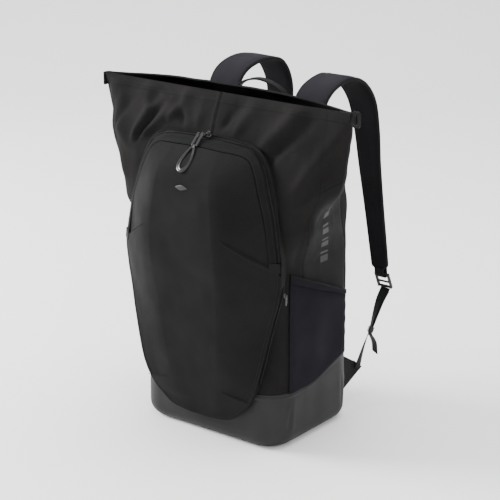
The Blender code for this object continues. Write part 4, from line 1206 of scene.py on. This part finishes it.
def build_pocket_trim():
    """The pocket's side wall, its piping, the zip's coil of teeth, its tape, the rain band and the ends."""
    half = dense_outline()
    loop = both_sides(half)
    loop = np.concatenate([loop, loop[:1]])
    share = np.linspace(0, 1, 14)[:, None]
    around_x = loop[None, :, 0] + 0 * share
    around_z = loop[None, :, 1] + 0 * share
    wall = gusset_point(around_x, around_z, share + 0 * around_x)
    outward_dir = unit(np.gradient(loop, axis=0))
    ripple = grain(np.arange(len(loop))[None, :] * 0.11, share * 2, 14)
    swell = 0.0016 * np.sin(math.pi * share) + 0.0010 * ripple
    swell = swell * np.sin(math.pi * share)
    out = np.stack([outward_dir[:, 1], 0 * outward_dir[:, 0], -outward_dir[:, 0]], axis=-1)
    wall = wall + out[None] * swell[..., None]
    wall[:, -1] = wall[:, 0]
    lengths = np.r_[0, np.cumsum(np.hypot(*np.diff(loop, axis=0).T))]
    uvs = np.stack(np.broadcast_arrays(lengths[None, :], share * 0.05), axis=-1)
    wall = np.concatenate([wall[:1] + unit(wall[:1] - wall[-1:]) * 0.007, wall])
    uvs = np.concatenate([uvs[:1] - np.array([0, 0.007]), uvs])
    body = slab("pocket_wall", wall, uvs, 0.0012, ["woven", "lining"], closed=True,
                normals=np.broadcast_to(out[None], wall.shape))
    finish_piece(outward(body), "pack", "woven", "pocket_gusset")

    low = inset_outline(half, 0.0004)
    kept = low[low[:, 1] < ZIP_END_Z]
    for side, sign in SIDES:
        line = face_point(sign * kept[:, 0], kept[:, 1], 0.0, False)
        normals = face_normal(sign * kept[:, 0], kept[:, 1])
        pipe = rope(f"piping_{side}", line, 0.0015, 0.0015, normals, "binding")
        finish_piece(pipe, "pack", "woven")

    tape = face_strip("zip_tape", half, -0.0004, COIL_WIDTH + 0.001, ZIP_END_Z, -0.0026, 0.0008, "binding")
    finish_piece(tape, "pack", "plastic", "main_zip_coil")
    path = both_sides(inset_outline(half[half[:, 1] >= ZIP_END_Z], COIL_WIDTH / 2))
    points = face_point(path[:, 0], path[:, 1], 0.0, False)
    normals = face_normal(path[:, 0], path[:, 1])
    lengths = path_lengths(points)
    even = np.arange(0.0008, lengths[-1], 0.0016)
    places = resampled(even, lengths, points)
    ups = resampled(even, lengths, normals)
    along = np.gradient(places, axis=0)
    across = np.cross(unit(ups), unit(along))
    teeth = beads("zip_teeth", places - unit(ups) * 0.0022, across, ups, (0.0044, 0.0011, 0.0018), "coil")
    finish_piece(teeth, "pack", "plastic")

    band = face_strip("rain_band", half, COIL_WIDTH + 0.0004, BAND_WIDTH - 0.0008, ZIP_END_Z, 0.0002, 0.0018,
                      "front")
    finish_piece(band, "flap_bend", "woven", "zip_band")
    backing = face_strip("band_seam_tape", half, BAND_WIDTH - 0.0040, BAND_WIDTH + 0.0040, ZIP_END_Z, -0.0026,
                         0.0006, "binding")
    finish_piece(backing, "flap_bend", "woven")
    for row, inset in (("a", COIL_WIDTH + 0.0022), ("b", BAND_WIDTH - 0.0024)):
        path = both_sides(inset_outline(half[half[:, 1] >= ZIP_END_Z], inset))
        normals = face_normal(path[:, 0], path[:, 1])
        line = face_point(path[:, 0], path[:, 1], 0.0, False) + normals * 0.0008
        finish_piece(seam_stitches(f"band_stitch_{row}", line, normals), "flap_bend", "mark")

    for side, sign in SIDES:
        rows = []
        for z in np.linspace(0.3305, 0.3475, 8):
            wide = float(pocket_half(z))
            x = sign * np.linspace(wide - 0.0010, wide - BAND_WIDTH, 9)
            zs = np.full(9, z)
            rows.append(face_point(x, zs, 0.0, False) + face_normal(x, zs) * 0.0019)
        grid = np.array(rows)
        if sign > 0:
            grid = grid[:, ::-1]
        flat = grid[..., [0, 2]]
        end = slab(f"zip_end_cloth_{side}", grid, flat, 0.0022, ["side"])
        finish_piece(end, "pack", "woven", f"zip_end_{side}")


def build_badge():
    """A plain raised lozenge on the pocket."""
    count = 28
    rings = []
    for size, lift in ((1.0, -0.0004), (1.0, 0.0007), (0.86, 0.0011)):
        ring = []
        for index in range(count):
            angle = 2 * math.pi * index / count
            across = 0.013 * size * math.cos(angle) * abs(math.cos(angle)) ** 0.7
            up = 0.0044 * size * math.sin(angle) * abs(math.sin(angle)) ** 0.7
            ring.append(face_point(across, 0.458 + up, lift + pocket_lift(across, 0.458 + up), False))
        rings.append(np.array(ring))
    badge = outward(tube("badge", np.array(rings), ["badge"]))
    finish_piece(badge, "flap_bend", "mark", "pocket_badge")


def pocket_lift(x, z):
    return float(pocket_slack(np.array(x), np.array(z)))


def build_bars():
    """A column of plain tone-on-tone bars on the smooth side panel."""
    heights = np.linspace(0.312, 0.438, 9)
    for number, z0 in enumerate(heights):
        tall = 0.0045 if number % 2 else 0.0115
        u = np.linspace(0.256, 0.278, 6)[None, :]
        z = np.linspace(z0, z0 + tall, 4)[:, None]
        u, z = np.broadcast_arrays(u, z)
        outer = skin_out(u, z, wrinkles(u, z) + 0.0003)
        piece = slab(f"side_bar_{number}", outer, skin_uvs(u, z), 0.0004, ["bars"])
        finish_piece(piece, "pack", "mark")


# Zip hardware

def zip_frame(x):
    """A place on the main zip at its top, with the face's downward direction and its normal."""
    place = face_point(x, SLIDER_Z, 0.0, False)
    down = unit(face_point(x, SLIDER_Z - 0.003, 0.0, False) - place)
    return place, down, unit(np.cross(down, np.array([1.0, 0, 0])))


def build_sliders():
    """Two slider heads, each a domed body with a bridge; the right-hand one has a short bail."""
    for side, sign in SIDES:
        place, down, normal = zip_frame(sign * SLIDER_X)
        axes = (np.array([1.0, 0, 0]), down, normal)
        nodes = [f"zip_slider_{side}"]
        body = bar(f"slider_body_{side}", (0.0086, 0.0084, 0.0030), place + normal * 0.0022, axes, "metal",
                   0.0012)
        finish_piece(body, f"slider_{side}", "metal", *nodes)
        for end, shift in (("a", -0.0016), ("b", 0.0016)):
            post = bar(f"slider_post_{side}_{end}", (0.0026, 0.0016, 0.0030),
                       place + normal * 0.0046 + down * shift, axes, "metal", 0.0006)
            finish_piece(post, f"slider_{side}", "metal")
        bridge = bar(f"slider_bridge_{side}", (0.0026, 0.0046, 0.0011), place + normal * 0.0060, axes, "metal",
                     0.0005)
        finish_piece(bridge, f"slider_{side}", "metal")
    place, down, normal = zip_frame(SLIDER_X)
    outline = rounded_box(0.0062, 0.0066, 20)
    hole = rounded_box(0.0034, 0.0038, 20)
    bail = ring_body("slider_bail", outline, hole, 0.0014, place + normal * 0.0079 - down * 0.001,
                     (np.array([1.0, 0, 0]), down, normal), "metal", 0.06)
    finish_piece(bail, "slider_right", "metal", "zip_bail_right")


def teardrop(length, width, count):
    """Outline of a rounded teardrop hanging from the origin, as (across, down) pairs."""
    points = []
    for index in range(count):
        angle = 2 * math.pi * index / count
        down = (1 - math.cos(angle)) / 2
        points.append((width / 2 * math.sin(angle) * (0.30 + 0.70 * down**0.8), down * length))
    return np.array(points)


def build_pull():
    """The pull: two strips down from the slider to a moulded teardrop loop with a raised rim."""
    face, along, normal = zip_frame(-SLIDER_X)
    top = face + normal * 0.0066 + along * 0.003
    down = np.array([0, -math.cos(PULL_TILT), -math.sin(PULL_TILT)])
    out = np.array([0, -math.sin(PULL_TILT), math.cos(PULL_TILT)])
    axes = (np.array([1.0, 0, 0]), down, out)
    for side, sign in SIDES:
        centre = top + down * (PULL_LINK / 2 + 0.001) + np.array([sign * 0.0044, 0, 0]) + out * 0.0012
        arm = bar(f"pull_strip_{side}", (0.0052, PULL_LINK + 0.004, 0.0020), centre, axes, "rubber", 0.0007)
        finish_piece(arm, "pull", "rubber", *(["pull_link"] if sign > 0 else []))
    bridge = bar("pull_top_bar", (0.0138, 0.0012, 0.0012), top, axes, "metal", 0.0004)
    finish_piece(bridge, "pull", "metal")
    drop = PULL_LENGTH - PULL_LINK
    start = PULL_LINK + 0.0004
    count = 72
    rim = teardrop(drop, PULL_WIDTH, count) + np.array([0, start])
    hole = teardrop(drop - 0.015, PULL_WIDTH - 0.015, count) + np.array([0, start + 0.0075])
    rings = []
    profile = ((0.00, 0.0003), (0.00, 0.0019), (0.10, 0.0027), (0.30, 0.0029), (0.42, 0.0020), (0.60, 0.0018),
               (0.72, 0.0024), (0.92, 0.0024), (1.0, 0.0018), (1.0, 0.0003), (0.90, 0.0), (0.10, 0.0))
    for share, lift in profile:
        flat = mixed(rim, hole, share)
        rings.append(top + np.outer(flat[:, 0], axes[0]) + np.outer(flat[:, 1], down) + out * lift)
    rings = np.array(rings)
    sections = len(profile)
    faces = []
    for ring in range(sections):
        after = (ring + 1) % sections
        for step in range(count):
            b = (step + 1) % count
            faces.append([ring * count + step, ring * count + b, after * count + b, after * count + step])
    loop = outward(make_object("pull_teardrop", rings.reshape(-1, 3), faces,
                               np.tile(rim, (sections, 1)), ["rubber"]))
    finish_piece(loop, "pull", "rubber", "pull_loop")


def side_zip_place(z, lift):
    """Point on the pocket's right-hand wall at half its depth, lifted off it, with the wall's direction."""
    half = np.array([float(pocket_half(z))])
    height = np.array([z])
    foot = gusset_point(half, height, np.array([0.0]))[0]
    edge = gusset_point(half, height, np.array([1.0]))[0]
    across = unit(edge - foot)
    normal = unit(np.cross(np.array([0, 0, 1.0]), edge - foot))
    return mixed(foot, edge, 0.55) + normal * lift, across, normal


def build_side_zip():
    """The short zip down the pocket's right-hand wall, with its slider and ring."""
    points = []
    flats = []
    places = []
    ups = []
    heights = np.linspace(SIDE_ZIP_LOW_Z, SIDE_ZIP_TOP_Z + 0.013, 60)
    for z in heights:
        place, across, normal = side_zip_place(z, 0.0018)
        points.append([place - across * 0.0040, place, place + across * 0.0040])
        flats.append([(-0.004, z), (0, z), (0.004, z)])
        places.append(place)
        ups.append(normal)
    tape = outward(slab("side_zip_tape", np.array(points), np.array(flats), 0.0012, ["binding"]))
    finish_piece(tape, "pack", "plastic", "side_zip_coil")
    places = np.array(places)
    lengths = path_lengths(places)
    even = np.arange(0.001, lengths[-1], 0.0016)
    dense = resampled(even, lengths, places)
    up = resampled(even, lengths, ups)
    along = np.gradient(dense, axis=0)
    teeth = beads("side_zip_teeth", dense, np.cross(up, unit(along)), up, (0.0040, 0.0011, 0.0007), "coil")
    finish_piece(teeth, "pack", "plastic")
    place, across, normal = side_zip_place(SIDE_ZIP_TOP_Z, SIDE_SLIDER_LIFT)
    axes = (across, np.cross(normal, across), normal)
    body = bar("side_slider_body", (0.0060, 0.0090, 0.0030), place, axes, "metal", 0.0010)
    finish_piece(body, "side_slider", "metal", "side_zip_slider")
    place, across, normal = side_zip_place(SIDE_ZIP_TOP_Z, SIDE_RING_LIFT)
    outline = rounded_box(0.0094, 0.0195, 32)
    hole = rounded_box(0.0058, 0.0120, 32)
    ring = ring_body("side_ring_pull", outline, hole, 0.0015, place + np.array([0, 0, -0.0075]),
                     (across, np.array([0, 0, 1.0]), normal), "metal", 0.05)
    finish_piece(ring, "side_ring", "metal", "side_zip_ring")


# Carry system

def strap_half_width(share):
    return mixed(STRAP_TOP_WIDTH, STRAP_END_WIDTH, eased(0.45, 1.0, share)) / 2


def build_strap(side):
    """A padded strap: knit outer face, ribbed underside, and a bound, stitched edge on each side."""
    line = smooth_route(STRAP_ROUTES[side], 12)
    _, across, normal = route_frame(line, (1.0, 0, 0))
    share = np.linspace(0, 1, len(line))
    round_off = np.sqrt(np.clip(1 - (np.maximum(share - 0.975, 0) / 0.027) ** 2, 0.0, 1))
    half = strap_half_width(share) * round_off
    lengths = path_lengths(line)
    profile = []
    for x in np.linspace(-1, 1, 21):
        profile.append((x, 1))
    for x in np.linspace(0.97, -0.97, 19):
        profile.append((x, -1))
    rings = []
    flats = []
    slots = []
    for x, face in profile:
        soft = (1 - abs(x) ** 5) ** 0.6
        channel = 0.0006 * math.exp(-((abs(x) - 0.80) / 0.05) ** 2)
        thick = 0.0012 + 0.0030 * soft - channel
        puff = 0.0004 * grain(lengths * 38, np.full_like(lengths, x * 2.0), 20)
        ends = np.sqrt(np.clip(np.minimum(share, 1 - share) / 0.008, 0.12, 1))
        rise = face * (thick * ends + puff * ends)
        rings.append(line + across * (half * x)[:, None] + normal * rise[:, None])
        flats.append(np.stack([half * x + (0.2 if face < 0 else 0), lengths], axis=-1))
        slots.append(0 if face > 0 else 1)
    rings = np.stack(rings, axis=1)
    body = outward(tube(f"padded_strap_{side}", rings, ["strap", "under"], slots, np.stack(flats, axis=1)))
    facing = outer_side(line, normal)
    if facing < 0:
        for polygon in body.data.polygons:
            polygon.material_index = 1 - polygon.material_index
    finish_piece(body, "pack", "strap_knit", f"shoulder_strap_{side}")
    for edge, sign in (("inner", -1), ("outer", 1)):
        bound = line + across * ((half - 0.0010) * sign)[:, None]
        piece = rope(f"strap_binding_{side}_{edge}", bound[2:-2], 0.0062, 0.0028, across[2:-2] * sign,
                     "binding")
        finish_piece(piece, "pack", "strap_knit")
        stitched = line + across * ((half - 0.0046) * sign)[:, None] + normal * (facing * 0.0040)
        piece = seam_stitches(f"strap_stitch_{side}_{edge}", stitched[3:-3], normal[3:-3] * facing, 0.0040)
        finish_piece(piece, "pack", "mark")
    build_strap_label(side, line, across, normal, half, facing)


def outer_side(line, normal):
    """+1 if the line's normals point to the strap's outer face, away from the bag, in its hanging part."""
    middle = int(len(line) * 0.75)
    return 1.0 if normal[middle][1] > 0 else -1.0


def build_strap_label(side, line, across, normal, half, facing):
    """A small dark label near the strap's lower end."""
    rows = []
    flats = []
    for index in range(int(len(line) * 0.93), int(len(line) * 0.965)):
        xs = np.linspace(-0.62, 0.62, 9)
        centre = line[index] + normal[index] * facing * 0.0050
        rows.append([centre + across[index] * half[index] * x for x in xs])
        flats.append([(x * half[index], index * 0.002) for x in xs])
    label = outward(slab(f"strap_label_cloth_{side}", np.array(rows), np.array(flats), 0.0008, ["binding"]))
    finish_piece(label, "pack", "webbing")


def across_at(share, sign):
    """Width direction along the adjusting webbing, between the directions of its table."""
    shares = [row[0] for row in WEBBING_ACROSS]
    rows = np.array([row[1] for row in WEBBING_ACROSS], float) * np.array([1, sign, sign])
    return np.stack([np.interp(share, shares, rows[:, axis]) for axis in range(3)], axis=-1)


def strip(name, line, across, width, thickness, material):
    """A flat webbing strap with rounded edges, along a line."""
    _, across, normal = route_frame(line, across)
    upper = [(0.5, 0.18), (0.47, 0.5), (0.25, 0.5), (0, 0.5), (-0.25, 0.5), (-0.47, 0.5), (-0.5, 0.18)]
    outline = [(0.5, -0.18)] + upper + [(x, -y) for x, y in reversed(upper[1:])]
    width = np.broadcast_to(np.asarray(width, float), (len(line),))
    rings = [line + across * (width * a)[:, None] + normal * (thickness * b) for a, b in outline]
    lengths = path_lengths(line)
    flats = [np.stack([width * a + 0.1, lengths], axis=-1) for a, b in outline]
    return outward(tube(name, np.stack(rings, axis=1), [material], None, np.stack(flats, axis=1)))


def build_lower_strap(side, sign):
    """The ladder lock, the adjusting webbing with its keeper and loose tail, and the anchor wing."""
    mirror = np.array([sign, 1, 1])
    place = np.array(LOCK_PIVOT) * mirror
    turn = Matrix.Rotation(LOCK_TILT, 3, "X")
    axes = (np.array([1.0, 0, 0]), np.array(turn @ Vector((0, 0, 1))), np.array(turn @ Vector((0, 1, 0))))
    bars = (("top", 0.030, 0.0050, -0.0042, 0.0042), ("middle", 0.030, 0.0044, -0.0220, 0.0036),
            ("bottom", 0.030, 0.0052, -0.0335, 0.0044))
    for name, wide, tall, drop, thick in bars:
        centre = place + axes[1] * drop
        piece = bar(f"lock_bar_{side}_{name}", (wide, tall, thick), centre, axes, "plastic", 0.0014)
        finish_piece(piece, f"lock_{side}", "plastic", *([f"ladder_lock_{side}"] if name == "top" else []))
    for name, shift in (("a", -0.01325), ("b", 0.01325)):
        centre = place + axes[1] * -0.0188 + axes[0] * shift
        piece = bar(f"lock_rail_{side}_{name}", (0.0038, 0.0350, 0.0072), centre, axes, "plastic", 0.0016)
        finish_piece(piece, f"lock_{side}", "plastic")
    end = np.array(STRAP_ROUTES[side][-1])
    loop_route = [end + (0, 0.0052, 0.020), end + (0, 0.0056, 0.006), place + (0, 0.0042, -0.0030),
                  place + (0, 0.0010, -0.0090), place + (0, -0.0050, -0.0050), end + (0, -0.0050, 0.004)]
    loop_line = smooth_route(loop_route, 8)
    loop = strip(f"lock_loop_{side}", loop_line, (1.0, 0, 0), 0.0200, 0.0014, "webbing")
    finish_piece(loop, "pack", "webbing")

    line = smooth_route(np.array(WEBBING_ROUTE) * mirror, 10)
    share = np.linspace(0, 1, len(line))
    web = strip(f"adjusting_webbing_{side}", line, across_at(share, sign), WEBBING_WIDTH, WEBBING_THICKNESS,
                "webbing")
    finish_piece(web, "pack", "webbing", f"webbing_{side}")
    tangent, across, normal = route_frame(line, across_at(share, sign))
    outer = normal * np.sign(normal[:, 1:2]) * 0.0026
    index = 30
    doubled = (line + outer)[2:index + 4:3]
    tail_line = smooth_route(np.concatenate([doubled, np.array(TAIL_ROUTE[1:]) * mirror]), 5)
    tail_share = np.linspace(0, 1, len(tail_line))
    turned = np.array([0.9 * sign, 0, 0]) * eased(0.72, 1, tail_share)[:, None] * sign
    tail_across = across_at(tail_share * 0.62, sign) + turned
    tail = strip(f"loose_tail_{side}", tail_line, tail_across, WEBBING_WIDTH * 0.95, WEBBING_THICKNESS,
                 "webbing")
    finish_piece(tail, "pack", "webbing", f"webbing_tail_{side}")
    outline = rounded_box(0.0262, 0.0098, 36)
    hole = rounded_box(0.0222, 0.0062, 36)
    keeper = ring_body(f"keeper_ring_{side}", outline, hole, 0.0100, line[index] + outer[index] / 2,
                       (across[index], normal[index], tangent[index]), "plastic", 0.05)
    finish_piece(keeper, "pack", "plastic", f"keeper_{side}")
    build_wing(side, mirror)


def build_wing(side, mirror):
    """The fabric triangle sewn into the bag's back edge, holding the webbing's lower end."""
    root_high, root_low = [skin_out(WING_ROOT_U, z, 0.0016) for z in WING_ROOT_HEIGHTS]
    tip_high, tip_low = (np.array(point) for point in WING_TIP)
    share = np.linspace(0, 1, 24)[None, :, None]
    down = np.linspace(0, 1, 20)[:, None, None]
    high = mixed(root_high, tip_high, share)
    low = mixed(root_low, tip_low, share)
    grid = mixed(high, low, down)
    normal = unit(np.cross(tip_low - root_high, root_low - root_high))
    dip = 0.0014 * np.sin(math.pi * share) * np.sin(math.pi * down)
    grid = grid + normal * dip
    grid = grid * mirror
    uvs = np.stack(np.broadcast_arrays(share[..., 0] * 0.05, down[..., 0] * 0.06), axis=-1)
    wing = outward(slab(f"anchor_wing_cloth_{side}", grid, uvs, 0.0018, ["side"]))
    finish_piece(wing, "pack", "webbing", f"anchor_wing_{side}")
    normals = np.broadcast_to(unit(np.cross(grid[0, 12] - grid[0, 0], grid[12, 0] - grid[0, 0])), (24, 3))
    facing = 1.0 if np.dot(normals[0], mirror * np.array([1.0, 0.3, 0])) > 0 else -1.0
    for row, index in (("high", 2), ("low", 17)):
        line = grid[index] + normals * (0.0022 if facing > 0 else -0.0022)
        finish_piece(seam_stitches(f"wing_stitch_{side}_{row}", line, normals * facing), "pack", "mark")


def build_back():
    """Ribbed back pads, the yoke that carries the straps, and the woven top handle."""
    for side, sign in SIDES:
        width, height = PAD_SIZE
        x = np.linspace(-1, 1, 45)[None, :]
        z = np.linspace(-1, 1, 130)[:, None]
        edge = (1 - np.abs(x) ** 6) * (1 - np.abs(z) ** 18)
        ribs = 0.0016 * np.abs(np.sin(z * height / 2 * math.pi / 0.026)) ** 0.5
        channel = 0.0022 * np.exp(-(x / 0.09) ** 2)
        puff = (0.0065 + ribs - channel) * np.maximum(edge, 0) ** 0.35 + 0.0030
        across = sign * PAD_CENTRE[0] - x * width / 2
        grid = stacked(across, DEPTH / 2 + 0.0012 + puff, PAD_CENTRE[2] + z * height / 2)
        uvs = grid[..., [0, 2]]
        thick = puff + 0 * x - 0.0004
        normals = np.broadcast_to(np.array([0, 1.0, 0]), grid.shape)
        pad = outward(slab(f"back_pad_cushion_{side}", grid, uvs, thick, ["mesh", "mesh"], normals=normals))
        finish_piece(pad, "pack", "knit", f"back_pad_{side}")
    u = np.linspace(0.410, 0.590, 70)[None, :]
    z = np.linspace(0.435, 0.472, 16)[:, None]
    u, z = np.broadcast_arrays(u, z)
    outer = skin_out(u, z, wrinkles(u, z) + 0.0030)
    yoke = slab("yoke_cloth", outer, skin_uvs(u, z), 0.0022, ["side"])
    finish_piece(yoke, "pack", "webbing", "yoke_panel")
    for row, height in (("low", 0.438), ("high", 0.469)):
        us = np.linspace(0.413, 0.587, 100)
        zs = np.full(100, height)
        line = skin_out(us, zs, wrinkles(us, zs) + 0.0031)
        finish_piece(seam_stitches(f"yoke_stitch_{row}", line, skin_normal(us, zs)), "pack", "mark")
    route = HANDLE_ARCH + [(-x, y, z) for x, y, z in reversed(HANDLE_ARCH[:-1])]
    line = smooth_route(route, 14)
    handle = strip("handle_webbing", line, (0, 1.0, 0), 0.0135, 0.0032, "webbing")
    finish_piece(handle, "handle", "webbing", "top_handle")


def dress_inside():
    """The base board and the laptop divider keep their CAD shape and get better finishes."""
    for node, material in (("base_board", "board"), ("laptop_divider", "lining")):
        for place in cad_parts[node].material_slots:
            place.material = MATERIALS[material]


def build_all():
    build_camera()
    build_stage()
    build_body()
    build_rim()
    build_seam_tapes()
    build_boot()
    build_side_pockets()
    build_pocket_cloth()
    build_pocket_trim()
    build_badge()
    build_bars()
    build_sliders()
    build_pull()
    build_side_zip()
    for side, sign in SIDES:
        build_strap(side)
        build_lower_strap(side, sign)
    build_back()
    dress_inside()


build_all()
